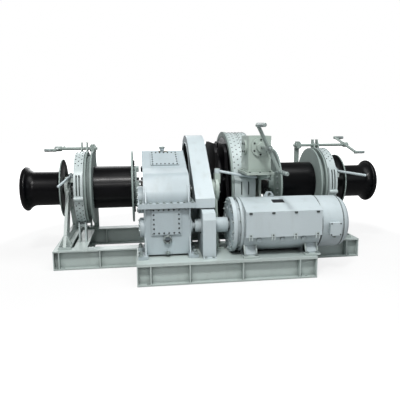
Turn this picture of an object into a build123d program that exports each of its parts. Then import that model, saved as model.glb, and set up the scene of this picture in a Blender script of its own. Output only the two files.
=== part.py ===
from build123d import *
from math import acos, atan2, cos, pi, radians, sin, sqrt, tan
import os

# Anchor windlass with one chain wheel, two mooring drums and two warping heads.
# Millimetres. Origin on the deck below the main shaft, near its mid-length.
# +X runs along the shaft, +Y away from the motor side, +Z up.

# Rolled beams of both frames
beam_h = 220.0
beam_w = 150.0
beam_flange_t = 16.0
beam_web_t = 12.0
stiffener_t = 12.0
deck_hole_r = 13.0
deck_hole_end = 110.0
deck_hole_edge = 35.0

# Front frame under gearbox and motor
front_x0 = -914.0
front_x1 = 955.0
front_y0 = -1310.0
deck_plate_t = 12.0

# Rear frame under the shaft line
rear_x0 = -1842.0
rear_x1 = 1745.0
rear_y0 = -640.0
rear_y1 = 585.0
left_brake_beam_x = -1630.0
gearbox_beam_x = -560.0
centre_beam_x = -75.0
mid_left_beam_x = 464.0
mid_right_beam_x = 622.0
right_brake_beam_x = 1425.0

# Main shaft
shaft_z = 845.0
shaft_r = 75.0
fit_gap = 0.1
run_gap = 0.5

# Warping heads
left_head_end = 2250.0
right_head_end = 2165.0
head_length = 480.0
head_lip_r = 266.0
head_barrel_r = 205.0
head_lip_w = 90.0
head_disc_t = 34.0
head_disc_r = 350.0

# End stands and their bearings
left_stand_x = -1722.0
right_stand_x = 1605.0
stand_plate_t = 34.0
stand_foot_t = 25.0
stand_foot_w = 140.0
stand_front_half = 560.0
left_stand_rear = 540.0
right_stand_rear = 405.0
stand_top_half = 120.0
bearing_r = 135.0
bearing_w = 70.0
collar_out = 30.0

# Mooring drums with brake rims
drum_barrel_r = 260.0
drum_flange_r = 440.0
drum_flange_t = 20.0
drum_brake_r = 425.0
drum_brake_w = 110.0
drum_wall = 22.0
left_drum_x0 = -1610.0
left_drum_x1 = -935.0
right_drum_x0 = 825.0
right_drum_x1 = 1534.0
drum_rim_gap = 90.0
claw_count = 4
claw_half_angle = 20.0
claw_ring_r = 255.0
small_claw_r = 148.0
claw_ring_w = 75.0
claw_base_w = 38.0
claw_h = 30.0

# Clutch sleeves
sleeve_r = 140.0
sleeve_groove_r = 118.0
sleeve_w = 60.0
sleeve_gap = 20.0

# Chain wheel with brake rim
wheel_x0 = 20.0
wheel_x1 = 165.0
wheel_rim_r = 600.0
wheel_flat_r = 528.0
wheel_groove_r = 400.0
wheel_lobes = 5
wheel_lobe_angle = 55.0
wheel_pocket_r = 60.0
wheel_hub_r = 190.0
wheel_brake_x0 = 180.0
wheel_brake_x1 = 456.0
wheel_brake_r = 634.0
wheel_rim_t = 18.0
wheel_rim_lip = 26.0
band_t = 14.0
band_gap = 1.0
band_joint_x = 329.0
band_joint_w = 6.0
fork_t = 24.0

# Open gear pair
gear_module = 14.0
gear_teeth = 80
pinion_teeth = 17
pressure_angle = 20.0
backlash = 1.2
gear_face = 130.0
gear_x = -185.0
gear_spokes = 6
pinion_z = 875.0
pinion_shaft_r = 55.0

# The two gear centres lie one centre distance apart
centre_distance = gear_module * (gear_teeth + pinion_teeth) / 2
pinion_y = -sqrt(centre_distance ** 2 - (pinion_z - shaft_z) ** 2)
pinion_housing_x0 = -74.0
pinion_housing_x1 = 12.0

# Gear guard
guard_x0 = -288.0
guard_x1 = -82.0
guard_r = 620.0
guard_t = 6.0
guard_lip = 90.0
guard_front_y = -1040.0
guard_front_z = 830.0
guard_bottom_z = 731.0

# Gearbox
box_x0 = -826.0
box_x1 = -345.0
box_y0 = -1050.0
box_y1 = -290.0
box_z0 = 252.0
split_z = 775.0
split_t = 50.0
split_out = 60.0
box_foot_w = 100.0
box_foot_y = 110.0

# Motor, set just clear of the brake band of the chain wheel
motor_r = 288.0
motor_z = 530.0
motor_band_gap = 23.0
motor_y = -(wheel_brake_r + band_gap + band_t + motor_band_gap + motor_r)
motor_x0 = 79.0
motor_x1 = 1345.0
motor_bell_x = 180.0
motor_seam_x = 1020.0
motor_cap_x = 1262.0
lug_x = 520.0
lug_t = 32.0
lug_hole_r = 20.0

# Coupling and its guard
coupling_shaft_r = 38.0
coupling_x0 = -338.0
coupling_guard_x0 = -232.0
coupling_guard_x1 = -97.0
coupling_guard_half = 225.0
coupling_guard_top = 718.0
coupling_guard_t = 5.0

# Middle stand with the bracket that carries the brake column over the motor
mid_plate_x0 = 480.0
mid_plate_x1 = 594.0
mid_plate_t = 30.0
mid_front_y = -260.0
mid_rear_y = 220.0
shelf_t = 24.0
shelf_x0 = 251.0
shelf_x1 = 548.0
shelf_y1 = -(wheel_brake_r + band_gap + band_t - 27.0)
shelf_y0 = shelf_y1 - 439.0
arm_h = 106.0
column_x0 = 286.0
column_x1 = 534.0
column_y1 = shelf_y1 - 18.0
column_y0 = column_y1 - 340.0
column_z0 = 1090.0
column_z1 = 1470.0

# Cranks
crank_axis_y = 440.0
crank_axis_z = 1302.0
left_crank_plane = -1885.0
right_crank_plane = 2030.0
left_crank_tilt = 0.0
right_crank_tilt = 15.0
crank_arm = 343.0
crank_arm_r = 18.5
crank_grip_r = 17.0
crank_spindle_r = 20.0
crank_knuckle_r = 21.0
crank_boss_r = 34.0
crank_grip = 120.0
mid_crank_x = 412.0
mid_crank_y = column_y0 - 320.0
mid_crank_z = 1354.0
mid_crank_arm = 256.0
mid_crank_grip = 250.0
mid_crank_tilt = 116.0

# Brake posts behind the drums
left_post_x = -1458.0
right_post_x = 1335.0
post_y = 470.0
post_w = 64.0
post_t = 26.0
left_brackets = (-1600.0, -1531.0)
right_brackets = (1558.0, 1618.0)
bracket_t = 16.0
bracket_top_z = 1379.0

# Hand levers
lever_r = 15.0
lever_pin_r = 14.0
left_lever_x = -1665.0
left_lever_y = -170.0
right_lever_x = 1574.0
right_lever_y = -300.0
side_lever_z = 985.0
mid_lever_x = -5.0
mid_lever_y = pinion_y - 40.0
mid_lever_z = pinion_z + 185.0

top_z = beam_h + deck_plate_t
foot_top = beam_h + stand_foot_t


# Basic solids placed by their limits
def block(x0, x1, y0, y1, z0, z1):
    solid = Box(x1 - x0, y1 - y0, z1 - z0)
    return Pos((x0 + x1) / 2, (y0 + y1) / 2, (z0 + z1) / 2) * solid


def rod_x(radius, x0, x1, y=0.0, z=shaft_z):
    return Pos((x0 + x1) / 2, y, z) * (Rot(0, 90, 0) * Cylinder(radius, abs(x1 - x0)))


def rod_y(radius, y0, y1, x, z):
    return Pos(x, (y0 + y1) / 2, z) * (Rot(90, 0, 0) * Cylinder(radius, abs(y1 - y0)))


def rod_z(radius, z0, z1, x, y):
    return Pos(x, y, (z0 + z1) / 2) * Cylinder(radius, z1 - z0)


def prism_x(points, x0, x1):
    face = make_face(Polyline(*[(x0, y, z) for y, z in points], close=True))
    return extrude(face, amount=x1 - x0, dir=(1, 0, 0))


def prism_y(points, y0, y1):
    face = make_face(Polyline(*[(x, y0, z) for x, z in points], close=True))
    return extrude(face, amount=y1 - y0, dir=(0, 1, 0))


def turned_x(points, y=0.0, z=shaft_z):
    face = make_face(Polyline(*[(x, y, z + r) for x, r in points], close=True))
    return revolve(face, axis=Axis((0, y, z), (1, 0, 0)))


def bar(a, b, radius):
    start = Vector(*a)
    span = Vector(*b) - start
    return Solid.make_cylinder(radius, span.length, Plane(origin=start, z_dir=span))


# Rolled I-beams along X or Y; the long ones have web stiffeners and deck bolt holes
def beam_x(x0, x1, y0, stiffeners, hole_y):
    web_y = y0 + beam_w / 2
    beam = block(x0, x1, y0, y0 + beam_w, 0, beam_flange_t)
    beam += block(x0, x1, y0, y0 + beam_w, beam_h - beam_flange_t, beam_h)
    beam += block(x0, x1, web_y - beam_web_t / 2, web_y + beam_web_t / 2, 0, beam_h)
    for x in stiffeners:
        beam += block(x, x + stiffener_t, y0 + 4, y0 + beam_w - 4, 0, beam_h)
    for x in (x0 + deck_hole_end, x1 - deck_hole_end):
        beam -= rod_z(deck_hole_r, -1, beam_flange_t + 1, x, hole_y)
    return beam


def beam_y(x0, y0, y1):
    web_x = x0 + beam_w / 2
    beam = block(x0, x0 + beam_w, y0, y1, 0, beam_flange_t)
    beam += block(x0, x0 + beam_w, y0, y1, beam_h - beam_flange_t, beam_h)
    beam += block(web_x - beam_web_t / 2, web_x + beam_web_t / 2, y0, y1, 0, beam_h)
    return beam


def sector_x(r_in, r_out, angle_0, angle_1, x0, x1):
    ring = turned_x([(x0, r_in), (x0, r_out), (x1, r_out), (x1, r_in)])
    wedge = [(0, shaft_z)]
    for angle in (angle_0, (angle_0 + angle_1) / 2, angle_1):
        wedge.append((2 * r_out * cos(radians(angle)), shaft_z + 2 * r_out * sin(radians(angle))))
    return ring & prism_x(wedge, x0 - 1, x1 + 1)


# End stand: one tapering plate with a window, gussets at its feet and a bearing housing
def shaft_stand(x_mid, rear_half, lever_x, lever_y):
    x0, x1 = x_mid - stand_plate_t / 2, x_mid + stand_plate_t / 2
    window_z0, window_z1 = foot_top + 90, shaft_z - 230
    web = prism_x([(-stand_front_half, foot_top), (rear_half, foot_top), (stand_top_half, shaft_z),
                   (-stand_top_half, shaft_z)], x0, x1)
    web -= prism_x([(-stand_front_half * 0.45, window_z0), (rear_half * 0.45, window_z0), (80, window_z1),
                    (-80, window_z1)], x0 - 1, x1 + 1)
    web += block(x_mid - stand_foot_w / 2, x_mid + stand_foot_w / 2, -stand_front_half - 20,
                 rear_half + 20, beam_h, foot_top)
    for y in (-stand_front_half + 90, rear_half - 90):
        for side in (-1, 1):
            tip = x_mid + side * (stand_foot_w / 2 - 6)
            web += prism_y([(x_mid, foot_top), (tip, foot_top), (tip, foot_top + 12),
                            (x_mid + side * stand_plate_t / 2, foot_top + 120), (x_mid, foot_top + 120)],
                           y - 7, y + 7)
    web += rod_x(bearing_r, x_mid - bearing_w / 2, x_mid + bearing_w / 2)
    arm_x0, arm_x1 = sorted((x_mid, lever_x + 32 * (1 if lever_x > x_mid else -1)))
    web += block(arm_x0, arm_x1, lever_y - 32, 50 - bearing_r, side_lever_z - 50, side_lever_z)
    web += rod_z(lever_pin_r, side_lever_z, side_lever_z + 62, lever_x, lever_y)
    return web - rod_x(shaft_r + run_gap, x_mid - bearing_w, x_mid + bearing_w)


# Involute tooth outline in the YZ plane about a centre, with one tooth on a given angle
def gear_outline(teeth, centre_y, centre_z, tooth_angle):
    pitch_r = gear_module * teeth / 2
    base_r = pitch_r * cos(radians(pressure_angle))
    tip_r = pitch_r + gear_module
    root_r = pitch_r - 1.25 * gear_module
    start_r = max(root_r, base_r)
    alpha = radians(pressure_angle)
    half_pitch = pi / (2 * teeth) - backlash / (4 * pitch_r) + tan(alpha) - alpha
    flank = []
    for step in range(4):
        r = start_r + (tip_r - start_r) * step / 3
        angle = acos(min(1.0, base_r / r))
        flank.append((r, half_pitch - (tan(angle) - angle)))
    if start_r > root_r:
        flank.insert(0, (root_r, flank[0][1]))
    points = []
    for tooth in range(teeth):
        middle = tooth_angle + 2 * pi * tooth / teeth
        side = [(r, middle - half) for r, half in flank]
        side += [(r, middle + half) for r, half in reversed(flank)]
        points += [(centre_y + r * cos(a), centre_z + r * sin(a)) for r, a in side]
    return points


# Open gear pair on the line through both centres
mesh_angle = atan2(pinion_z - shaft_z, pinion_y)
gear_x0 = gear_x - gear_face / 2
gear_x1 = gear_x + gear_face / 2


def make_open_gear():
    outline = gear_outline(gear_teeth, 0.0, shaft_z, mesh_angle)
    pitch_r = gear_module * gear_teeth / 2
    rim_in = pitch_r - 75.0
    hub_r = 140.0
    gear = prism_x(outline, gear_x0, gear_x1)
    gear -= rod_x(rim_in, gear_x0 - 1, gear_x1 + 1)
    gear += rod_x(hub_r, gear_x0 - 14, gear_x1 + 14)
    for spoke in range(gear_spokes):
        arm = block(gear_x - 28, gear_x + 28, -45, 45, shaft_z + hub_r - 30, shaft_z + rim_in + 20)
        gear += arm.rotate(Axis((0, 0, shaft_z), (1, 0, 0)), 360.0 * spoke / gear_spokes)
    return gear - rod_x(shaft_r + fit_gap, gear_x0 - 30, gear_x1 + 30)


def make_pinion():
    outline = gear_outline(pinion_teeth, pinion_y, pinion_z, mesh_angle + pi + pi / pinion_teeth)
    pinion = prism_x(outline, gear_x0 - 4, gear_x1 + 4)
    pinion += rod_x(pinion_shaft_r, box_x1 + 10, pinion_housing_x1 + 12, pinion_y, pinion_z)
    return pinion


# Warping head: barrel with a rounded outer lip and a disc on the inner side
def make_head(sign, head_end_x):
    disc_x = head_end_x - head_length
    barrel_in = disc_x + head_disc_t
    lip_x = head_end_x - head_lip_w
    profile = [(disc_x, shaft_r + fit_gap), (disc_x, head_disc_r - 6), (disc_x + 6, head_disc_r),
               (barrel_in - 6, head_disc_r), (barrel_in, head_disc_r - 6),
               (barrel_in, head_barrel_r + 12), (barrel_in + 12, head_barrel_r),
               (lip_x - 60, head_barrel_r), (lip_x - 15, head_barrel_r + 16),
               (lip_x, head_lip_r - 22), (lip_x + 18, head_lip_r - 5), (lip_x + 38, head_lip_r),
               (head_end_x - 28, head_lip_r - 3), (head_end_x - 8, head_lip_r - 14),
               (head_end_x, head_lip_r - 40), (head_end_x, shaft_r + fit_gap)]
    head = turned_x([(sign * x, r) for x, r in profile])
    for spot in range(6):
        a = 2 * pi * spot / 6
        head -= rod_x(22, sign * (head_end_x - 12), sign * (head_end_x + 12),
                      150 * cos(a), shaft_z + 150 * sin(a))
    return head


def make_main_shaft():
    shaft = rod_x(shaft_r, -left_head_end + 20, right_head_end - 20)
    for x in (left_stand_x + 60, right_stand_x - 53, mid_plate_x0 + 72):
        shaft += rod_x(shaft_r + collar_out, x - 10, x + 10)
    return shaft


# Mooring drum with a brake rim outboard and a claw ring inboard, drawn for the left side
def make_drum(x_brake, x_inner, ring_r):
    sign = 1 if x_inner > x_brake else -1
    x_flange = x_brake + sign * (drum_brake_w + 8)
    x_rim = x_brake + sign * (drum_brake_w + drum_rim_gap)
    thick = sign * drum_flange_t
    bore = shaft_r + run_gap
    shell_in = drum_barrel_r - drum_wall
    profile = [(x_brake, bore), (x_brake, drum_brake_r - 90), (x_brake + thick, drum_brake_r - 90),
               (x_brake + thick, drum_brake_r - drum_wall), (x_brake, drum_brake_r - drum_wall),
               (x_brake, drum_brake_r), (x_flange, drum_brake_r), (x_flange, drum_flange_r),
               (x_flange + thick, drum_flange_r), (x_flange + thick, drum_flange_r - 60),
               (x_rim - thick, drum_flange_r - 60), (x_rim - thick, drum_flange_r),
               (x_rim, drum_flange_r), (x_rim, drum_barrel_r), (x_inner - thick, drum_barrel_r),
               (x_inner - thick, drum_flange_r), (x_inner, drum_flange_r), (x_inner, bore)]
    drum = turned_x(profile)
    base_x = x_inner + sign * claw_base_w
    drum += turned_x([(x_inner - sign, bore), (x_inner - sign, ring_r), (base_x, ring_r), (base_x, bore)])
    for claw in range(claw_count):
        drum += make_claw(base_x - sign * 2, base_x + sign * claw_h, ring_r - 2, claw)
    return drum


def make_claw(x0, x1, outer_r, index):
    ring = rod_x(outer_r, x0, x1) - rod_x(outer_r - claw_ring_w + 25, x0, x1)
    half = outer_r * sin(radians(claw_half_angle))
    wedge = block(min(x0, x1), max(x0, x1), -half, half, shaft_z + 60, shaft_z + outer_r + 10)
    wedge = wedge.rotate(Axis((0, 0, shaft_z), (1, 0, 0)), 360.0 * index / claw_count)
    return ring & wedge


# Sliding claw sleeve with a fork groove; its claws face along sign
def make_sleeve(x_claw_tip, sign, ring_r):
    x_face = x_claw_tip - sign * claw_h
    x_back = x_face - sign * sleeve_w
    groove_a = x_back + sign * 14
    groove_b = x_back + sign * 32
    bore = shaft_r + run_gap
    sleeve = turned_x([(x_back, bore), (x_back, sleeve_r), (groove_a, sleeve_r), (groove_a, sleeve_groove_r),
                       (groove_b, sleeve_groove_r), (groove_b, sleeve_r), (x_face - sign * 16, sleeve_r),
                       (x_face - sign * 16, ring_r), (x_face, ring_r), (x_face, bore)])
    for claw in range(claw_count):
        sleeve += make_claw(x_face - sign * 2, x_claw_tip, ring_r - 2, claw)
    return sleeve


# Chain wheel: lobed rims with a chain groove and pockets, and the brake rim beside them
def make_chain_wheel():
    bore = shaft_r + run_gap
    mid = (wheel_x0 + wheel_x1) / 2
    profile = [(wheel_x0, bore), (wheel_x0, wheel_rim_r), (wheel_x0 + 30, wheel_rim_r),
               (mid - 20, wheel_groove_r), (mid + 20, wheel_groove_r), (wheel_x1 - 30, wheel_rim_r),
               (wheel_x1, wheel_rim_r), (wheel_x1, bore)]
    wheel = turned_x(profile)
    corner_r = wheel_flat_r / cos(pi / wheel_lobes)
    corners = []
    for lobe in range(wheel_lobes):
        a = 2 * pi * lobe / wheel_lobes + radians(wheel_lobe_angle)
        corners.append((corner_r * cos(a), shaft_z + corner_r * sin(a)))
    wheel &= prism_x(corners, wheel_x0 - 1, wheel_x1 + 1)
    for pocket in range(wheel_lobes):
        a = 2 * pi * (pocket + 0.5) / wheel_lobes + radians(wheel_lobe_angle)
        wheel -= rod_x(wheel_pocket_r, wheel_x0 + 26, wheel_x1 - 26,
                       wheel_flat_r * 0.9 * cos(a), shaft_z + wheel_flat_r * 0.9 * sin(a))
    rim_in = wheel_brake_r - 40.0
    rim_top = wheel_brake_r + wheel_rim_lip
    rim_x = wheel_brake_x0 + wheel_rim_t
    web_x = wheel_brake_x0 + 40
    wheel += turned_x([(wheel_x1 - 5, bore), (wheel_x1 - 5, wheel_hub_r), (wheel_brake_x1, wheel_hub_r),
                       (wheel_brake_x1, bore)])
    wheel += turned_x([(wheel_x1 - 5, 150.0), (wheel_x1 - 5, 470.0), (wheel_brake_x0, rim_in),
                       (wheel_brake_x0, rim_top), (rim_x, rim_top), (rim_x, wheel_brake_r),
                       (wheel_brake_x1, wheel_brake_r), (wheel_brake_x1, rim_in), (web_x, rim_in),
                       (web_x, 150.0)])
    wheel += turned_x([(wheel_x0 - 30, bore), (wheel_x0 - 30, 175.0), (wheel_x0 + 1, 175.0),
                       (wheel_x0 + 1, bore)])
    return wheel


# Band round a brake rim: open at the rear, a slotted fork in front and an anchor foot below
def make_band(x0, x1, rim_r, fork_low, fork_high, lug_deg):
    inner = rim_r + band_gap
    outer = inner + band_t
    band = turned_x([(x0, inner), (x0, outer), (x1, outer), (x1, inner)])
    gap = [(0, shaft_z), (outer * 1.3, shaft_z + outer * 0.75), (outer * 1.3, shaft_z - outer * 0.25)]
    band -= prism_x(gap, x0 - 1, x1 + 1)
    band += sector_x(inner, outer + fork_t, 180 - fork_high, 180 + fork_low, x0 + 4, x1 - 4)
    slot_pitch = (x1 - x0 - 8) / 3
    for slot in (1, 2):
        slot_x = x0 + 4 + slot * slot_pitch
        band -= sector_x(inner - 1, outer + fork_t + 5, 184 - fork_high, 176 + fork_low,
                         slot_x - 8, slot_x + 8)
    end_angle = radians(180 + fork_low)
    pin_r = 24.0
    pin_y = (outer + pin_r - 6) * cos(end_angle)
    pin_z = shaft_z + (outer + pin_r - 6) * sin(end_angle)
    band += rod_x(pin_r, x0 + 2, x1 - 2, pin_y, pin_z)
    lug_angle = radians(lug_deg)
    lug_y = (outer + 20) * cos(lug_angle)
    lug_z = shaft_z + (outer + 20) * sin(lug_angle)
    leg = [(lug_y - 60, beam_h), (lug_y + 60, beam_h), (lug_y + 35, lug_z + 20), (lug_y - 45, lug_z + 30)]
    for x in (x0 + 8, x1 - 26):
        band += prism_x(leg, x, x + 18) - rod_x(inner + 2, x - 1, x + 19)
    band += rod_x(22, x0, x1, lug_y - 4, lug_z - 12)
    return band


def make_chain_band():
    x0, x1 = wheel_brake_x0 + wheel_rim_t + 5, wheel_brake_x1 - 4
    outer = wheel_brake_r + band_gap + band_t
    band = make_band(x0, x1, wheel_brake_r, 8, 13, 212)
    return band - sector_x(outer - 8, outer + 5, 14, 166, band_joint_x, band_joint_x + band_joint_w)


# Brake posts behind a drum: a flat post and two bracket plates with the spindle bearing
def make_post(x_mid, bracket_xs):
    x0, x1 = x_mid - post_w / 2, x_mid + post_w / 2
    spindle_r = crank_spindle_r + run_gap
    back = post_y + post_t
    body = block(x0, x1, post_y, back, foot_top, crank_axis_z - 30)
    body += prism_x([(post_y, crank_axis_z - 60), (back, crank_axis_z - 60), (back, crank_axis_z + 55),
                     (crank_axis_y - 45, crank_axis_z + 55), (crank_axis_y - 45, crank_axis_z - 40)],
                    x0 + 10, x1 - 10)
    body += rod_x(42, x0 - 6, x1 + 6, crank_axis_y, crank_axis_z)
    outline = [(post_y, foot_top), (post_y + 100, foot_top), (post_y + 82, 900),
               (crank_axis_y + 60, bracket_top_z), (crank_axis_y - 10, bracket_top_z),
               (crank_axis_y - 70, 1250), (post_y, 1010)]
    for x in bracket_xs:
        body += prism_x(outline, x - bracket_t / 2, x + bracket_t / 2)
    for x in (x_mid,) + tuple(bracket_xs):
        body -= rod_x(spindle_r, x - 50, x + 50, crank_axis_y, crank_axis_z)
    limits = sorted((x_mid, bracket_xs[0], bracket_xs[1]))
    body += block(limits[0] - 50, limits[2] + 24, rear_y1 - beam_w + 5, rear_y1 - 5, beam_h, foot_top)
    return body


# Side crank: spindle along X with a two-armed handle and two grips
def make_side_crank(post_x, plane_x, tilt):
    sign = 1 if plane_x > 0 else -1
    a = radians(tilt)
    y0, z0 = crank_axis_y, crank_axis_z
    crank = rod_x(crank_spindle_r, post_x - sign * 60, plane_x + sign * 30, y0, z0)
    crank += rod_x(crank_boss_r, plane_x - sign * 30, plane_x + sign * 34, y0, z0)
    reach_y, reach_z = crank_arm * cos(a), crank_arm * sin(a)
    crank += bar((plane_x, y0 - reach_y, z0 - reach_z), (plane_x, y0 + reach_y, z0 + reach_z), crank_arm_r)
    for end in (-1, 1):
        tip_y, tip_z = y0 + end * reach_y, z0 + end * reach_z
        crank += rod_x(crank_knuckle_r, plane_x - 21, plane_x + 21, tip_y, tip_z)
        crank += rod_x(crank_grip_r, plane_x + sign * 4, plane_x + sign * crank_grip, tip_y, tip_z)
    return crank


def make_mid_crank():
    y0, z0 = mid_crank_y, mid_crank_z
    crank = rod_y(crank_spindle_r, y0 - 30, column_y0 + 40, mid_crank_x, z0)
    crank += rod_y(crank_boss_r, y0 - 32, y0 + 30, mid_crank_x, z0)
    reach_x = mid_crank_arm * cos(radians(mid_crank_tilt))
    reach_z = mid_crank_arm * sin(radians(mid_crank_tilt))
    crank += bar((mid_crank_x - reach_x, y0, z0 - reach_z), (mid_crank_x + reach_x, y0, z0 + reach_z),
                 crank_arm_r)
    for end in (-1, 1):
        tip_x, tip_z = mid_crank_x + end * reach_x, z0 + end * reach_z
        crank += rod_y(crank_knuckle_r, y0 - 21, y0 + 21, tip_x, tip_z)
        crank += rod_y(crank_grip_r, y0 - mid_crank_grip, y0 - 4, tip_x, tip_z)
    return crank


# Gearbox cases
def box_lower_half():
    return block(box_x0 - 200, box_x1 + 200, box_y0 - 200, box_y1 + 200, 0, split_z)


def make_lower_case():
    case = block(box_x0, box_x1, box_y0, box_y1, box_z0, split_z - split_t / 2)
    case += block(box_x0 - split_out, box_x1 + split_out - 12, box_y0 - split_out, box_y1,
                  split_z - split_t / 2, split_z)
    for x in (box_x0 - 70, box_x1 + 70 - box_foot_w):
        case += block(x, x + box_foot_w, box_y0 - box_foot_y, box_y0 + 60, top_z, top_z + 34)
        case += block(x, x + box_foot_w, rear_y0 - 170, rear_y0 - 20, top_z, top_z + 34)
    for x in (box_x0 + 3, box_x1 - 17):
        case += prism_x([(box_y0 + 5, split_z - 20), (box_y0 - 50, split_z - 20), (box_y0, split_z - 160),
                         (box_y0 + 5, split_z - 160)], x, x + 14)
        case += prism_x([(box_y0 + 5, 440), (box_y0, 440), (box_y0 - 80, top_z + 30),
                         (box_y0 + 5, top_z + 30)], x, x + 14)
    for x, z, r in ((-590, 416, 42), (-590, 272, 25)):
        case += rod_y(r, box_y0 - 24, box_y0, x, z)
    case += rod_x(150, box_x0 - 60, box_x0 + 5, -640, split_z) & box_lower_half()
    case += rod_x(85, box_x1 - 2, box_x1 + 20, motor_y, motor_z)
    case -= rod_x(coupling_shaft_r + run_gap, box_x1 - 30, box_x1 + 30, motor_y, motor_z)
    return case


def make_upper_case():
    crease_y, crease_z, roof_z = box_y0 + 350, 1130.0, 1296.0
    outline = [(box_y0, split_z), (box_y0, 880), (box_y0 + 115, 1078), (crease_y, crease_z),
               (box_y1, roof_z), (box_y1, split_z)]
    case = prism_x(outline, box_x0, box_x1)
    shoulders = case.edges().filter_by(Axis.X).filter_by_position(Axis.Z, 879, 1079)
    case = fillet(shoulders, 150)
    slope = (roof_z - crease_z) / (box_y1 - crease_y)
    cover = []
    for part_y, lift in ((0.12, -3), (0.85, -3), (0.85, 12), (0.12, 12)):
        y = crease_y + part_y * (box_y1 - crease_y)
        cover.append((y - lift * slope, crease_z + (y - crease_y) * slope + lift))
    case += prism_x(cover, box_x0 + 94, box_x1 - 75)
    case += rod_z(22, roof_z - 40, roof_z + 34, -592, box_y1 - 40)
    case += rod_z(30, roof_z + 14, roof_z + 30, -592, box_y1 - 40)
    case += block(box_x0 - split_out, box_x1 + split_out - 12, box_y0 - split_out, box_y1,
                  split_z, split_z + split_t / 2)
    case += rod_x(150, box_x0 - 60, box_x0 + 5, -640, split_z) - box_lower_half()
    case += rod_x(92, box_x1 - 5, box_x1 + 30, pinion_y, pinion_z)
    case -= rod_x(pinion_shaft_r + run_gap, box_x1 - 20, box_x1 + 40, pinion_y, pinion_z)
    return case


def make_front_cover():
    cover = block(-745, -450, box_y0 - 22, box_y0, 468, split_z - split_t / 2 - 5)
    return fillet(cover.edges().filter_by(Axis.Y), 20)


# Gear guard: rim strip with narrow side walls, closed round the pinion
def guard_outline(shrink):
    r = guard_r - shrink
    corner = (guard_front_y + shrink, guard_front_z - shrink * 0.4)
    away = sqrt(corner[0] ** 2 + (corner[1] - shaft_z) ** 2)
    tangent = atan2(corner[1] - shaft_z, corner[0]) % (2 * pi) - acos(r / away)
    touch = (r * cos(tangent), shaft_z + r * sin(tangent))
    low_z = guard_bottom_z + shrink
    low_y = -sqrt(r ** 2 - (shaft_z - low_z) ** 2)
    return r, touch, corner, low_z, low_y


def guard_solid(shrink, x0, x1):
    r, touch, corner, low_z, low_y = guard_outline(shrink)
    horn = prism_x([touch, corner, (corner[0], low_z), (low_y + 30, low_z), (0, shaft_z)], x0, x1)
    return horn + rod_x(r, x0, x1)


def make_gear_guard():
    guard = guard_solid(0.0, guard_x0, guard_x1)
    guard -= guard_solid(guard_t, guard_x0 + guard_t, guard_x1 - guard_t)
    for x in (guard_x0, guard_x1 - guard_t):
        guard -= rod_x(guard_r - guard_lip, x - 1, x + guard_t + 1)
        guard -= rod_x(pinion_shaft_r + 12, x - 1, x + guard_t + 1, pinion_y, pinion_z)
    outside = guard_solid(1.0, guard_x0 - 1, guard_x1 + 1)
    for y in (rear_y0 + beam_w / 2, rear_y1 - beam_w / 2):
        legs = block(guard_x0, guard_x0 + 10, y - 60, y + 60, beam_h, shaft_z - 60)
        legs += block(guard_x1 - 10, guard_x1, y - 60, y + 60, beam_h, shaft_z - 60)
        legs += block(guard_x0, guard_x1, y - 60, y + 60, beam_h, beam_h + 14)
        guard += legs - outside
    return guard


# Bracket of the pinion's outboard bearing, with the lug of the middle lever on top
def make_pinion_stand():
    x0, x1 = pinion_housing_x0, pinion_housing_x1
    web = [(pinion_y - 190, top_z), (rear_y0 - 6, top_z), (pinion_y + 60, pinion_z),
           (pinion_y - 90, pinion_z)]
    stand = prism_x(web, x0 + 30, x1 - 26)
    stand += block(x0 + 4, x1 + 30, pinion_y - 200, rear_y0, top_z, top_z + 22)
    stand += rod_x(140, x0 + 44, x1 - 12, pinion_y, pinion_z)
    stand += rod_x(110, x0, x1, pinion_y, pinion_z)
    stand -= rod_x(pinion_shaft_r + run_gap, x0 - 5, x1 + 5, pinion_y, pinion_z)
    stand += block(mid_lever_x - 32, x1 + 14, mid_lever_y - 34, mid_lever_y + 50, pinion_z + 80, mid_lever_z)
    stand += rod_z(lever_pin_r, mid_lever_z - 5, mid_lever_z + 56, mid_lever_x, mid_lever_y)
    return stand


# Hand lever: hub on an upright pin, flat root and a sloping round handle
def make_lever(x, y, z, points, radius=lever_r):
    lever = rod_z(30, z, z + 50, x, y)
    start = (x, y, z + 26)
    for point in points:
        lever += bar(start, point, radius)
        lever += Pos(*point) * Sphere(radius)
        start = point
    return lever - rod_z(lever_pin_r + run_gap, z - 5, z + 70, x, y)


# Middle stand: two bored plates; the left one and a rib reach forward under the column's shelf
def make_mid_stand():
    top = column_z0 - shelf_t
    legs = [(-540, foot_top), (540, foot_top), (mid_rear_y, shaft_z + 60), (mid_rear_y, top),
            (mid_front_y, top), (mid_front_y, shaft_z - 60)]
    window = [(-220, foot_top + 90), (220, foot_top + 90), (110, 610), (-110, 610)]
    stand = block(mid_plate_x0, mid_plate_x1 + mid_plate_t, shelf_y1, mid_rear_y + 20, top, column_z0)
    stand += block(shelf_x0, shelf_x1, shelf_y0, shelf_y1, top, column_z0)
    for x, foot_x0 in ((mid_plate_x0, mid_plate_x0 - 15), (mid_plate_x1, mid_plate_x1 - 35)):
        web = prism_x(legs, x, x + mid_plate_t) - prism_x(window, x - 1, x + mid_plate_t + 1)
        web += block(foot_x0, x + mid_plate_t + 35, -580, 560, beam_h, foot_top)
        web += rod_x(bearing_r, x - 14, x + mid_plate_t + 14)
        web -= rod_x(shaft_r + run_gap, x - 40, x + mid_plate_t + 40)
        stand += web
    stand += block(mid_plate_x0, mid_plate_x1 + mid_plate_t, mid_front_y - 20, mid_front_y,
                   top - arm_h, top)
    arm = [(mid_front_y, top), (mid_front_y, top - arm_h), (shelf_y1, top - arm_h),
           (shelf_y0 + 30, top - 26), (shelf_y0 + 30, top)]
    for x in (mid_plate_x0, shelf_x1 - mid_plate_t):
        stand += prism_x(arm, x, x + mid_plate_t)
    return stand


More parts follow.
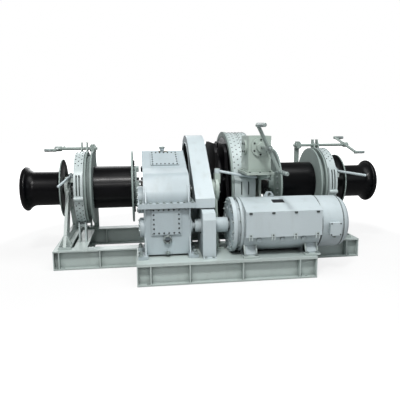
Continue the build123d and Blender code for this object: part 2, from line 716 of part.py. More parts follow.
def make_column():
    column = block(column_x0, column_x1, column_y0, column_y1, column_z0, column_z1)
    column = fillet(column.edges().filter_by(Axis.Z), 12)
    column += block(column_x0 - 14, column_x1 + 10, column_y0 - 20, column_y1 + 4, column_z0, column_z0 + 14)
    column += rod_y(98, column_y0 - 26, column_y0 + 5, mid_crank_x, mid_crank_z)
    column += rod_y(52, column_y0 - 105, column_y0 - 20, mid_crank_x, mid_crank_z)
    column -= rod_y(crank_spindle_r + run_gap, column_y0 - 130, column_y0 + 45, mid_crank_x, mid_crank_z)
    column += rod_x(80, column_x0 - 20, column_x0 + 5, (column_y0 + column_y1) / 2 - 30, mid_crank_z - 8)
    return column


# Motor: turned body with a flange bell, end cap, feet and lifting lug
def make_motor_body():
    y, z = motor_y, motor_z
    body = turned_x([(motor_bell_x, 0), (motor_bell_x, motor_r - 8), (motor_bell_x + 12, motor_r - 8),
                     (motor_bell_x + 12, motor_r), (motor_seam_x - 8, motor_r),
                     (motor_seam_x - 8, motor_r - 14), (motor_seam_x + 8, motor_r - 14),
                     (motor_seam_x + 8, motor_r - 4), (motor_cap_x - 8, motor_r - 8),
                     (motor_cap_x - 8, motor_r - 24), (motor_cap_x + 8, motor_r - 24),
                     (motor_cap_x + 8, motor_r - 14), (motor_x1 - 40, motor_r - 24),
                     (motor_x1 - 12, motor_r - 50), (motor_x1, motor_r - 100), (motor_x1, 0)], y, z)
    for x in (190.0, 848.0):
        foot = [(y - 265, top_z), (y + 265, top_z), (y + 265, top_z + 30), (y + 190, z - 150),
                (y - 190, z - 150), (y - 265, top_z + 30)]
        body += prism_x(foot, x, x + 140)
    terminal_box = block(1092, 1207, y - motor_r - 42, y - motor_r + 90, z - 87, z + 45)
    body += fillet(terminal_box.edges().filter_by(Axis.Y), 12)
    return body


def make_lifting_lug():
    y, top = motor_y, motor_z + motor_r
    outline = [(lug_x - 72, top - 20), (lug_x + 72, top - 20), (lug_x + 48, top + 20),
               (lug_x + 24, top + 58), (lug_x - 24, top + 58), (lug_x - 48, top + 20)]
    lug = prism_y(outline, y - lug_t / 2, y + lug_t / 2)
    lug -= rod_x(motor_r, lug_x - 90, lug_x + 90, y, motor_z)
    return lug - rod_y(lug_hole_r, y - lug_t, y + lug_t, lug_x, top + 26)


def make_motor_bell():
    y, z = motor_y, motor_z
    bell = turned_x([(motor_x0, 60), (motor_x0, motor_r + 6), (motor_x0 + 38, motor_r + 6),
                     (motor_x0 + 38, motor_r - 26), (motor_bell_x - 24, motor_r - 26),
                     (motor_bell_x - 24, motor_r + 2), (motor_bell_x, motor_r + 2),
                     (motor_bell_x, 60)], y, z)
    for hole in range(8):
        a = 2 * pi * (hole + 0.5) / 8
        bell -= rod_x(30, motor_x0 - 1, motor_x0 + 60, y + 200 * cos(a), z + 200 * sin(a))
    return bell


def make_motor_cover():
    outline = [(motor_y - 40, motor_z + motor_r + 2), (motor_y - 190, motor_z + 250),
               (motor_y - 335, motor_z + 188), (motor_y - 340, motor_z - 75), (motor_y - 200, motor_z - 95)]
    cover = prism_x(outline, motor_bell_x + 14, motor_seam_x - 22)
    return cover - rod_x(motor_r + 0.3, motor_bell_x - 1, motor_seam_x, motor_y, motor_z)


def make_coupling():
    y, z = motor_y, motor_z
    rotor = rod_x(coupling_shaft_r, coupling_x0, motor_x0 + 30, y, z)
    rotor += rod_x(70, coupling_guard_x0 - 60, coupling_guard_x0 + 55, y, z)
    rotor += rod_x(80, coupling_guard_x1 - 50, motor_x0 - 20, y, z)
    rotor += rod_x(130, coupling_guard_x0 + 30, coupling_guard_x1 - 30, y, z)
    return rotor


def make_coupling_guard():
    half, t = coupling_guard_half, coupling_guard_t
    top = coupling_guard_top
    outer = [(motor_y - half, top_z), (motor_y - half, top - 90), (motor_y - half + 30, top - 25),
             (motor_y - half + 95, top), (motor_y + half - 95, top), (motor_y + half - 30, top - 25),
             (motor_y + half, top - 90), (motor_y + half, top_z)]
    inner = [(motor_y - half + t, top_z), (motor_y - half + t, top - 92),
             (motor_y - half + 33, top - 30), (motor_y - half + 97, top - t),
             (motor_y + half - 97, top - t), (motor_y + half - 33, top - 30),
             (motor_y + half - t, top - 92), (motor_y + half - t, top_z)]
    guard = prism_x(outer, coupling_guard_x0, coupling_guard_x1)
    guard -= prism_x(inner, coupling_guard_x0 + t, coupling_guard_x1 - t)
    guard -= rod_x(92, coupling_guard_x0 - 5, coupling_guard_x1 + 5, motor_y, motor_z)
    for side in (-1, 1):
        y0, y1 = sorted((motor_y + side * half, motor_y + side * (half + 45)))
        guard += block(coupling_guard_x0, coupling_guard_x1, y0, y1, top_z, top_z + 8)
    return guard


# Pedestal beside the gearbox that carries the shaft near the open gear
def make_inner_stand():
    x0, x1 = gearbox_beam_x + 45, gearbox_beam_x + 105
    outline = [(-104, beam_h), (330, beam_h), (120, shaft_z), (-100, shaft_z)]
    stand = prism_x(outline, x0 + 12, x1 - 12)
    stand += block(x0 - 30, x1 + 30, -106, 350, beam_h, foot_top)
    stand += rod_x(104, x0, x1)
    return stand - rod_x(shaft_r + run_gap, x0 - 5, x1 + 5)


parts = {}

front_stiff = (front_x0, -782.0, -387.0, 162.0, 765.0, front_x1 - stiffener_t)
rear_stiff = (rear_x0, -1785.0, -1335.0, 1180.0, 1590.0, rear_x1 - stiffener_t)
front_beam_back = front_y0 + beam_w
parts["front_beam"] = beam_x(front_x0, front_x1, front_y0, front_stiff, front_y0 + deck_hole_edge)
parts["front_left_beam"] = beam_y(front_x0, front_beam_back, rear_y0)
parts["front_mid_beam"] = beam_y(-230.0, front_beam_back, rear_y0)
parts["front_right_beam"] = beam_y(front_x1 - beam_w, front_beam_back, rear_y0)
parts["front_deck_plate"] = block(front_x0, front_x1, front_y0, rear_y0, beam_h, top_z)
parts["rear_front_beam"] = beam_x(rear_x0, rear_x1, rear_y0, rear_stiff, rear_y0 + deck_hole_edge)
parts["rear_back_beam"] = beam_x(rear_x0, rear_x1, rear_y1 - beam_w, rear_stiff, rear_y1 - deck_hole_edge)
cross_beams = {
    "left_end": rear_x0,
    "left_brake": left_brake_beam_x,
    "gearbox": gearbox_beam_x,
    "centre": centre_beam_x,
    "mid_left": mid_left_beam_x,
    "mid_right": mid_right_beam_x,
    "right_brake": right_brake_beam_x,
    "right_end": rear_x1 - beam_w,
}
for name, x in cross_beams.items():
    parts["cross_beam_" + name] = beam_y(x, rear_y0 + beam_w, rear_y1 - beam_w)

parts["main_shaft"] = make_main_shaft()
parts["open_gear"] = make_open_gear()
parts["warping_head_left"] = make_head(-1, left_head_end)
parts["warping_head_right"] = make_head(1, right_head_end)
parts["pinion"] = make_pinion()
parts["drum_left"] = make_drum(left_drum_x0, left_drum_x1, claw_ring_r)
parts["drum_right"] = make_drum(right_drum_x1, right_drum_x0, small_claw_r)
parts["chain_wheel"] = make_chain_wheel()
claw_reach = claw_base_w + claw_h + sleeve_gap
parts["clutch_sleeve_left"] = make_sleeve(left_drum_x1 + claw_reach, -1, claw_ring_r)
parts["clutch_sleeve_right"] = make_sleeve(right_drum_x0 - claw_reach, 1, small_claw_r)
parts["crank_left"] = make_side_crank(left_post_x, left_crank_plane, left_crank_tilt)
parts["crank_right"] = make_side_crank(right_post_x, right_crank_plane, right_crank_tilt)
parts["crank_mid"] = make_mid_crank()
parts["motor_coupling"] = make_coupling()

parts["left_end_stand"] = shaft_stand(left_stand_x, left_stand_rear, left_lever_x, left_lever_y)
parts["right_end_stand"] = shaft_stand(right_stand_x, right_stand_rear, right_lever_x, right_lever_y)
parts["inner_stand"] = make_inner_stand()
parts["mid_stand"] = make_mid_stand()
parts["brake_column"] = make_column()
parts["pinion_stand"] = make_pinion_stand()
parts["brake_post_left"] = make_post(left_post_x, left_brackets)
parts["brake_post_right"] = make_post(right_post_x, right_brackets)
parts["brake_band_left"] = make_band(left_drum_x0 + 2, left_drum_x0 + drum_brake_w - 2, drum_brake_r,
                                     9, 29, 245)
parts["brake_band_right"] = make_band(right_drum_x1 - drum_brake_w + 2, right_drum_x1 - 2, drum_brake_r,
                                      9, 29, 245)
parts["brake_band_chain"] = make_chain_band()
parts["gearbox_lower_case"] = make_lower_case()
parts["gearbox_upper_case"] = make_upper_case()
parts["gearbox_front_cover"] = make_front_cover()
parts["gear_guard"] = make_gear_guard()
parts["motor_body"] = make_motor_body()
parts["motor_lifting_lug"] = make_lifting_lug()
parts["motor_bell"] = make_motor_bell()
parts["motor_cover"] = make_motor_cover()
parts["coupling_guard"] = make_coupling_guard()
parts["lever_mid"] = make_lever(mid_lever_x, mid_lever_y, mid_lever_z + 0.5,
                                [(mid_lever_x + 240, mid_lever_y - 25, mid_lever_z - 20),
                                 (mid_lever_x + 437, mid_lever_y - 28, mid_lever_z - 50)])
parts["lever_left"] = make_lever(left_lever_x, left_lever_y, side_lever_z + 0.5,
                                 [(left_lever_x - 92, left_lever_y - 350, side_lever_z - 55)])
parts["lever_right"] = make_lever(right_lever_x, right_lever_y, side_lever_z + 0.5,
                                  [(right_lever_x + 205, right_lever_y - 350, side_lever_z + 3)])

os.makedirs("parts", exist_ok=True)
for name, solid in parts.items():
    export_step(solid, os.path.join("parts", name + ".step"))
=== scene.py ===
# Anchor windlass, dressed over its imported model
import math
import bpy
import bmesh
from mathutils import Matrix, Vector


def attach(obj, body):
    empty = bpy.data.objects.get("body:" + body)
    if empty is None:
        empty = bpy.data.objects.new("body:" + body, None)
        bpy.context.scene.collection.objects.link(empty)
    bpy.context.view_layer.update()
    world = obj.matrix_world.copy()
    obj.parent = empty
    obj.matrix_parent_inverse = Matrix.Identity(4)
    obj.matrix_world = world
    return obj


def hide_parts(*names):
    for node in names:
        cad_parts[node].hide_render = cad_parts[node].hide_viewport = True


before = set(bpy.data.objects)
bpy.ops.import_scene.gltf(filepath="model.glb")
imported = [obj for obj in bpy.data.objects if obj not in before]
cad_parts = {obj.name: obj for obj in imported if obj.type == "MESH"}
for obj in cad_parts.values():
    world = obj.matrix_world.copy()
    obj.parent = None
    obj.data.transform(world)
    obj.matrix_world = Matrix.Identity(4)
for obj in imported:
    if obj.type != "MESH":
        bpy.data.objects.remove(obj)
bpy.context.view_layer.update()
print("frame loaded")

# Camera, at the photograph's angle
cameraPlan = {"place": (-0.849, -5.617, 1.579), "yaw": 7.558, "pitch": 9.365, "roll": -0.515,
              "lens": 40.37, "sensor": 36.0, "reach": 200.0}


# A new object in the scene
def show(name, data):
    thing = bpy.data.objects.new(name, data)
    bpy.context.scene.collection.objects.link(thing)
    return thing


def makeCamera(plan):
    yaw, pitch, roll = (math.radians(plan[k]) for k in ("yaw", "pitch", "roll"))
    run = math.cos(pitch)
    ahead = Vector((math.sin(yaw) * run, math.cos(yaw) * run, -math.sin(pitch)))
    level = Vector((math.cos(yaw), -math.sin(yaw), 0.0))
    over = level.cross(ahead)
    right = math.cos(roll) * level + math.sin(roll) * over
    up = math.cos(roll) * over - math.sin(roll) * level
    data = bpy.data.cameras.new("camera")
    data.lens = plan["lens"]
    data.sensor_width = plan["sensor"]
    data.clip_end = plan["reach"]
    camera = show("camera", data)
    turn = Matrix((right, up, -ahead)).transposed().to_4x4()
    camera.matrix_world = Matrix.Translation(plan["place"]) @ turn
    bpy.context.scene.camera = camera


makeCamera(cameraPlan)
bpy.context.scene.view_settings.view_transform = "Standard"


def linear(red, green, blue):
    def one(c):
        c /= 255.0
        return c / 12.92 if c <= 0.04045 else ((c + 0.055) / 1.055) ** 2.4
    return (one(red), one(green), one(blue), 1.0)


# An arithmetic method that adds its Math node; swapped is for a number on the left
def operator(kind, swapped=False):
    return lambda self, other=None: self.combine(kind, other, swapped)


# A socket that takes part in plain arithmetic, in materials and in geometry trees
class Value:
    def __init__(self, tree, socket):
        self.tree = tree
        self.socket = socket

    def combine(self, operation, other, swapped):
        node = self.tree.nodes.new("ShaderNodeMath")
        node.operation = operation
        pair = (other, self) if swapped else (self, other)
        for place, item in enumerate(pair):
            if isinstance(item, Value):
                self.tree.links.new(item.socket, node.inputs[place])
            elif item is not None:
                node.inputs[place].default_value = item
        return Value(self.tree, node.outputs[0])

    __add__, __radd__ = operator("ADD"), operator("ADD", True)
    __sub__, __rsub__ = operator("SUBTRACT"), operator("SUBTRACT", True)
    __mul__, __rmul__ = operator("MULTIPLY"), operator("MULTIPLY", True)
    __truediv__, __rtruediv__ = operator("DIVIDE"), operator("DIVIDE", True)
    __mod__, __rmod__ = operator("MODULO"), operator("MODULO", True)
    __gt__, __lt__ = operator("GREATER_THAN"), operator("LESS_THAN")
    cos, sin = operator("COSINE"), operator("SINE")
    floor, root = operator("FLOOR"), operator("SQRT")


# One method makes any node of a tree: its kind, its settings, then its sockets
class Recipe:
    def __init__(self, tree):
        self.tree = tree

    def add(self, kind, sockets=None, out=0, **settings):
        node = self.tree.nodes.new(kind)
        for key, setting in settings.items():
            setattr(node, key, setting)
        for key, item in (sockets or {}).items():
            self.feed(node.inputs[key], item)
        return Value(self.tree, node.outputs[out])

    def feed(self, socket, item):
        if isinstance(item, Value):
            self.tree.links.new(item.socket, socket)
        else:
            socket.default_value = item

    def parts(self, vector):
        split = self.add("ShaderNodeSeparateXYZ", {0: vector}).socket.node
        return [Value(self.tree, split.outputs[k]) for k in range(3)]


class Finish(Recipe):
    def __init__(self, name):
        self.material = bpy.data.materials.new(name)
        self.material.use_nodes = True
        super().__init__(self.material.node_tree)
        self.shader = next(n for n in self.tree.nodes if n.type == "BSDF_PRINCIPLED")
        self.output = next(n for n in self.tree.nodes if n.type == "OUTPUT_MATERIAL")

    def here(self):
        return self.add("ShaderNodeTexCoord", out=3)

    def axes(self):
        return self.parts(self.here())

    def noise(self, scale, detail=4.0, stretch=(1.0, 1.0, 1.0)):
        place = self.add("ShaderNodeMapping", {"Vector": self.here(), "Scale": stretch})
        return self.add("ShaderNodeTexNoise", {"Vector": place, "Scale": scale, "Detail": detail})

    def spread(self, value, low, high):
        return self.add("ShaderNodeMapRange", {"Value": value, "From Min": low, "From Max": high})

    # Colours come as red, green and blue out of 255, or from another mix
    def mix(self, amount, *colours):
        first, second = (c if isinstance(c, Value) else linear(*c) for c in colours)
        return self.add("ShaderNodeMix", {0: amount, 6: first, 7: second}, 2, data_type="RGBA")

    # A surface relief of fine noise
    def relief(self, scale, detail, distance, strength):
        bumps = self.noise(scale, detail)
        return self.add("ShaderNodeBump",
                        {"Height": bumps, "Distance": distance, "Strength": strength})

    # Distance from the main shaft's axis
    def radius(self):
        y, z = self.axes()[1:]
        rise = z - shaftHeight
        return (y * y + rise * rise).root()

    # 1 on outer edges, where handling rubs the paint and where a painted edge highlight goes
    def edges(self, width):
        soft = self.add("ShaderNodeBevel", {"Radius": width})
        plain = self.add("ShaderNodeNewGeometry", out=1)
        agree = self.add("ShaderNodeVectorMath", {0: soft, 1: plain}, 1, operation="DOT_PRODUCT")
        return self.spread(1.0 - agree, 0.01, 0.12)

    # 1 deep in corners and near other parts: the mask for painted shade
    def corners(self, reach):
        light = self.add("ShaderNodeAmbientOcclusion", {"Distance": reach}, out=1, samples=6)
        return self.spread(1.0 - light, 0.25, 0.95)

    def set(self, **sockets):
        for key, item in sockets.items():
            self.feed(self.shader.inputs[key.replace("_", " ")], item)
        return self.material


shaftHeight = 0.845

print("materials")
# Each enamel: two tones of its paint, a darker colour painted as shade in its corners, and its
# roughness
enamels = {
    "caseEnamel": {"base": (188, 201, 206), "shade": (166, 180, 185), "cornerShade": (70, 78, 78),
                   "rough": 0.4},
    # The motor's wider reach spreads painted shade over its underside, close above the deck
    "motorEnamel": {"base": (206, 218, 222), "shade": (182, 196, 200), "cornerShade": (64, 72, 72),
                    "rough": 0.38, "reach": 0.17},
    "frameEnamel": {"base": (200, 212, 209), "shade": (176, 189, 185), "cornerShade": (62, 68, 66),
                    "rough": 0.34},
    "columnEnamel": {"base": (184, 198, 190), "shade": (160, 175, 167), "cornerShade": (56, 62, 60),
                     "rough": 0.34},
    "crankEnamel": {"base": (158, 172, 167), "shade": (140, 155, 150), "cornerShade": (56, 62, 60),
                    "rough": 0.4, "worn": 0.08},
    "bandEnamel": {"base": (203, 215, 215), "shade": (170, 184, 184), "cornerShade": (78, 84, 84),
                   "rough": 0.3},
}
# Amounts and colours of clouds, runs, painted corner shade, specks and rubbed edges with a painted
# highlight
wearAndPaintedLight = {"clouds": 0.36, "runs": 0.16, "cornerShade": 0.75, "specks": 0.16, "worn": 0.3,
        "runColour": (138, 140, 130), "speckColour": (118, 116, 104), "wornEdgeHighlight": (224, 232, 230)}


# Brushed and sprayed enamel: clouds, runs, painted shade in the corners, rubbed edges that also
# carry a painted highlight
def enamel(name):
    plan = {"reach": 0.07, **wearAndPaintedLight, **enamels[name]}
    f = Finish(name)
    clouds = f.spread(f.noise(2.4, 5.0), 0.36, 0.72)
    runs = f.spread(f.noise(11.0, 3.0, (1.0, 1.0, 0.14)), 0.54, 0.8)
    specks = f.spread(f.noise(60.0, 2.0), 0.66, 0.76)
    # Darker paint in corners and near other parts is painted shade
    cornerShade = f.corners(plan["reach"])
    wornLitEdges = f.edges(0.007) * f.spread(f.noise(16.0, 4.0), 0.4, 0.62)
    colour = f.mix(clouds * plan["clouds"], plan["base"], plan["shade"])
    colour = f.mix(runs * plan["runs"], colour, plan["runColour"])
    colour = f.mix(cornerShade * wearAndPaintedLight["cornerShade"], colour, plan["cornerShade"])
    colour = f.mix(specks * plan["specks"], colour, plan["speckColour"])
    # Pale edges: rubbed paint and a painted highlight
    colour = f.mix(wornLitEdges * plan["worn"], colour, plan["wornEdgeHighlight"])
    rough = plan["rough"] + clouds * 0.12 + cornerShade * 0.2
    return f.set(Base_Color=colour, Roughness=rough, Coat_Weight=0.12, Coat_Roughness=0.15,
                 Normal=f.relief(170.0, 2.0, 0.0006, 0.3))


# The grey part takes a darker colour painted as shade in its corners and a pale colour on edges, for
# rubbed paint and a painted highlight
blackPaint = {"base": (2, 2, 4), "worn": (10, 10, 17), "steel": (66, 68, 76), "shine": 0.2,
              "rough": 0.31, "rub": 0.14, "grey": (158, 172, 168), "greyShade": (126, 140, 137),
              "cornerShade": (52, 58, 58), "bright": (220, 228, 226)}


# Black gloss with the grey enamel where grey is 1
def blackAndGrey(name, greyWhere, rubWhere=None):
    f, paint = Finish(name), blackPaint
    scuff = f.spread(f.noise(5.0, 6.0, (0.5, 1.0, 1.0)), 0.45, 0.78)
    wornLitEdges = f.edges(0.005) * f.spread(f.noise(14.0, 4.0), 0.42, 0.64)
    black = f.mix(scuff * 0.4, paint["base"], paint["worn"])
    black = f.mix(wornLitEdges * 0.35, black, paint["steel"])
    if rubWhere:
        rings = f.spread(f.noise(38.0, 3.0, (3.0, 0.25, 0.25)), 0.42, 0.7)
        black = f.mix(rubWhere(f) * rings * paint["rub"], black, paint["steel"])
    clouds = f.spread(f.noise(3.0, 5.0), 0.36, 0.72)
    grey = f.mix(clouds * 0.6, paint["grey"], paint["greyShade"])
    # Painted shade in the grey's corners
    grey = f.mix(f.corners(0.06) * 0.75, grey, paint["cornerShade"])
    # Pale grey edges: rubbed paint and a painted highlight
    grey = f.mix(wornLitEdges * 0.5, grey, paint["bright"])
    where = greyWhere(f)
    rough = paint["rough"] + scuff * 0.12 + where * 0.16
    return f.set(Base_Color=f.mix(where, black, grey), Roughness=rough,
                 Specular_IOR_Level=paint["shine"], Coat_Weight=0.03, Coat_Roughness=0.1,
                 Normal=f.relief(60.0, 2.0, 0.0005, 0.2))


drumPaint = {"barrel": 0.2625, "left": (-1.4095, -0.9575), "right": (0.8475, 1.3335)}


# Drums: black barrel between grey flanges, dark claws
def drumFinish(name, barrel):
    def greyWhere(f):
        x = f.axes()[0]
        inside = (x > barrel[0]) * (x < barrel[1])
        return 1.0 - inside * (f.radius() < drumPaint["barrel"])
    return blackAndGrey(name, greyWhere)


wheelPaint = {"lip": 0.178, "rim": 0.602, "pull": 0.47, "lobes": (0.05, 0.13)}


# Chain wheel: black lobes and disc, grey brake rim, bright where the chain lies
def wheelFinish():
    def greyWhere(f):
        return (f.axes()[0] > wheelPaint["lip"]) * (f.radius() > wheelPaint["rim"])

    def rubWhere(f):
        x, (low, high) = f.axes()[0], wheelPaint["lobes"]
        return (f.radius() < wheelPaint["pull"]) * (x < high) * (x > low)
    return blackAndGrey("wheelPaint", greyWhere, rubWhere)


# Warping heads: black, with the rim of the disc in grey
def headFinish(rim=0.3435):
    return blackAndGrey("headPaint", lambda f: f.radius() > rim)


def machinedSteel():
    f = Finish("machinedSteel")
    rings = f.noise(60.0, 3.0, (6.0, 0.4, 0.4))
    colour = f.mix(f.spread(rings, 0.35, 0.7), (150, 154, 154), (108, 112, 114))
    # Darker in corners and near other parts: painted shade
    colour = f.mix(f.corners(0.05) * 0.7, colour, (46, 44, 40))
    return f.set(Base_Color=colour, Metallic=0.85, Roughness=0.3 + 0.15 * rings)


def greasedIron():
    f = Finish("greasedIron")
    film = f.spread(f.noise(14.0, 5.0), 0.4, 0.7)
    colour = f.mix(film, (24, 24, 28), (52, 47, 42))
    colour = f.mix(f.edges(0.005) * 0.4, colour, (112, 112, 110))
    return f.set(Base_Color=colour, Metallic=0.5, Roughness=0.28 + film * 0.2,
                 Normal=f.relief(70.0, 4.0, 0.001, 0.4))


# Fasteners under the same paint, darker where it has worn through
def paintedBolts(name, light, dark):
    f = Finish(name)
    worn = f.spread(f.noise(40.0, 3.0), 0.42, 0.62)
    colour = f.mix(worn, light, dark)
    # Darker in corners and near other parts: painted shade
    colour = f.mix(f.corners(0.012) * 0.6, colour, (34, 36, 36))
    return f.set(Base_Color=colour, Metallic=0.25, Roughness=0.34 + worn * 0.2,
                 Normal=f.relief(220.0, 2.0, 0.0004, 0.4))


def barePlate():
    f = Finish("barePlate")
    brushed = f.noise(90.0, 3.0, (0.15, 1.0, 1.0))
    colour = f.mix(f.spread(brushed, 0.35, 0.7), (42, 44, 50), (62, 64, 70))
    colour = f.mix(f.edges(0.003) * 0.7, colour, (170, 172, 172))
    return f.set(Base_Color=colour, Metallic=0.6, Roughness=0.3 + 0.15 * brushed)


def brassPlate():
    f = Finish("brassPlate")
    brushed = f.noise(80.0, 3.0, (0.2, 1.0, 1.0))
    tarnish = f.spread(f.noise(22.0, 4.0), 0.4, 0.7)
    colour = f.mix(tarnish, (168, 148, 104), (112, 98, 70))
    return f.set(Base_Color=colour, Metallic=0.8, Roughness=0.28 + 0.2 * brushed)


# Flat dark colour for the discs in the bell's windows: painted shade
def blackout():
    f = Finish("blackout")
    mottle = f.spread(f.noise(50.0, 3.0), 0.4, 0.7)
    colour = f.mix(mottle, (12, 13, 15), (30, 31, 33))
    return f.set(Base_Color=colour, Roughness=0.7 + 0.2 * mottle)


def oilGlass():
    f = Finish("oilGlass")
    oil = f.spread(f.axes()[2], 0.408, 0.416)
    colour = f.mix(oil, (34, 38, 44), (92, 102, 108))
    return f.set(Base_Color=colour, Roughness=0.06 + 0.05 * f.noise(30.0, 2.0), Coat_Weight=1.0,
                 Coat_Roughness=0.03)


def weldPaint():
    f = Finish("weldPaint")
    clouds = f.spread(f.noise(12.0, 4.0), 0.36, 0.72)
    colour = f.mix(clouds, (170, 182, 180), (136, 150, 147))
    # Darker in corners and near other parts: painted shade
    colour = f.mix(f.corners(0.02) * 0.5, colour, (70, 76, 74))
    return f.set(Base_Color=colour, Roughness=0.36 + clouds * 0.16,
                 Normal=f.relief(150.0, 3.0, 0.001, 0.5))


finish = {name: enamel(name) for name in enamels}
finish.update({
    "leftDrum": drumFinish("leftDrumPaint", drumPaint["left"]),
    "rightDrum": drumFinish("rightDrumPaint", drumPaint["right"]),
    "wheel": wheelFinish(), "head": headFinish(), "steel": machinedSteel(), "iron": greasedIron(),
    "darkBolt": paintedBolts("darkBoltPaint", (84, 92, 92), (44, 46, 46)),
    "greyBolt": paintedBolts("greyBoltPaint", (172, 184, 183), (116, 126, 124)),
    "plate": barePlate(), "brass": brassPlate(), "glass": oilGlass(), "weld": weldPaint(),
    "blackout": blackout()})

nodeFinish = {
    "caseEnamel": ("gearbox_",),
    "motorEnamel": ("motor_", "gear_guard", "coupling_guard", "lever_"),
    "columnEnamel": ("brake_column", "mid_stand", "inner_stand", "pinion_stand"),
    "crankEnamel": ("crank_", "brake_post_"),
    "bandEnamel": ("brake_band_",),
    "leftDrum": ("drum_left",), "rightDrum": ("drum_right",), "wheel": ("chain_wheel",),
    "head": ("warping_head_",), "steel": ("main_shaft", "pinion"),
    "iron": ("open_gear", "clutch_sleeve_"),
}


def finishOf(node):
    for name, starts in nodeFinish.items():
        if node.startswith(starts):
            return finish[name]
    return finish["frameEnamel"]


for node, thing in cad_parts.items():
    if not thing.material_slots:
        thing.data.materials.append(finishOf(node))
    for holder in thing.material_slots:
        holder.material = finishOf(node)

print("geometry recipes")


# A geometry tree with named inputs, read by their names
class Shaper(Recipe):
    def __init__(self, name, **inputs):
        super().__init__(bpy.data.node_groups.new(name, "GeometryNodeTree"))
        self.codes = {}
        inputs = {"Geometry": "Geometry", **inputs, "Material": "Finish"}
        for kind, labels in inputs.items():
            for label in labels.split(", "):
                socket = self.tree.interface.new_socket(name=label, in_out="INPUT",
                                                        socket_type="NodeSocket" + kind)
                self.codes[label] = socket.identifier
        self.tree.interface.new_socket(name="Geometry", in_out="OUTPUT",
                                       socket_type="NodeSocketGeometry")
        self.entry = self.tree.nodes.new("NodeGroupInput")
        self.leave = self.tree.nodes.new("NodeGroupOutput")

    def input(self, label):
        return Value(self.tree, self.entry.outputs[label])

    def vector(self, x, y, z):
        return self.add("ShaderNodeCombineXYZ", {0: x, 1: y, 2: z})

    def attribute(self, name, kind):
        read = self.add("GeometryNodeInputNamedAttribute", {"Name": name}, data_type=kind)
        outputs = read.socket.node.outputs
        return Value(self.tree, next(o for o in outputs if o.enabled and o.name == "Attribute"))

    def join(self, *shapes):
        node = self.tree.nodes.new("GeometryNodeJoinGeometry")
        for shape in reversed(shapes):
            self.tree.links.new(shape.socket, node.inputs[0])
        return Value(self.tree, node.outputs[0])

    # A drum of so many sides that stands on z
    def drum(self, sides, low, high, z, depth):
        cone = self.add("GeometryNodeMeshCone", {"Vertices": sides, "Radius Top": high,
                                                 "Radius Bottom": low, "Depth": depth})
        return self.add("GeometryNodeTransform",
                        {"Geometry": cone, "Translation": self.vector(0.0, 0.0, z)})

    def random(self, low, high, seed):
        return self.add("FunctionNodeRandomValue", {2: low, 3: high, "Seed": seed}, 1)

    # Turns Z to the direction that a point carries
    def aim(self):
        facing = self.attribute("facing", "FLOAT_VECTOR")
        return self.add("FunctionNodeAlignRotationToVector", {"Vector": facing}, axis="Z")

    def smooth(self, shape):
        return self.add("GeometryNodeSetShadeSmooth", {"Geometry": shape, "Shade Smooth": True})

    def close(self, shape):
        whole = self.add("GeometryNodeRealizeInstances", {"Geometry": shape})
        done = self.add("GeometryNodeSetMaterial",
                        {"Geometry": whole, "Material": self.input("Finish")})
        self.tree.links.new(done.socket, self.leave.inputs[0])
        return self


# Puts a finished mesh in the scene, on its body
def settle(name, mesh, body):
    piece = show(name, mesh)
    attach(piece, body)
    return piece


# Runs a recipe on an object and returns a plain mesh piece
def grow(name, shaper, source, values, body, closed=False):
    carrier = show(name + "Source", source)
    modifier = carrier.modifiers.new("recipe", "NODES")
    modifier.node_group = shaper.tree
    for label, item in values.items():
        modifier[shaper.codes[label]] = item
    carrier.update_tag()
    bpy.context.view_layer.update()
    graph = bpy.context.evaluated_depsgraph_get()
    mesh = bpy.data.meshes.new_from_object(carrier.evaluated_get(graph), depsgraph=graph)
    mesh.name = name
    bpy.data.objects.remove(carrier)
    if closed:
        turnOut(mesh)
    return settle(name, mesh, body)


def turnOut(mesh):
    shape = bmesh.new()
    shape.from_mesh(mesh)
    bmesh.ops.remove_doubles(shape, verts=shape.verts, dist=0.00002)
    bmesh.ops.recalc_face_normals(shape, faces=shape.faces)
    shape.to_mesh(mesh)
    shape.free()


# Hexagon bolts, each on its washer, at points that carry a direction and a size
def boltRecipe():
    s = Shaper("hexBolts", Float="Head, Height, Washer", Int="Turn Seed")
    head, height, washer = s.input("Head"), s.input("Height"), s.input("Washer")
    under = s.drum(16, head * washer, head * washer, 0.0, height * 0.22)
    body = s.drum(6, head, head, height * 0.2, height * 0.66)
    top = s.drum(6, head, head * 0.82, height * 0.86, height * 0.14)
    shank = s.drum(8, head * 0.52, head * 0.46, height * 0.98, height * 0.3)
    spin = s.random(0.0, 1.047, s.input("Turn Seed"))
    own = s.add("FunctionNodeAxisAngleToRotation", {"Axis": (0.0, 0.0, 1.0), "Angle": spin})
    turn = s.add("FunctionNodeRotateRotation", {0: s.aim(), 1: own}, rotation_space="LOCAL")
    size = s.attribute("size", "FLOAT")
    placed = s.add("GeometryNodeInstanceOnPoints",
                   {"Points": s.input("Geometry"), "Instance": s.join(under, body, top, shank),
                    "Rotation": turn, "Scale": s.vector(size, size, size)})
    return s.close(placed)


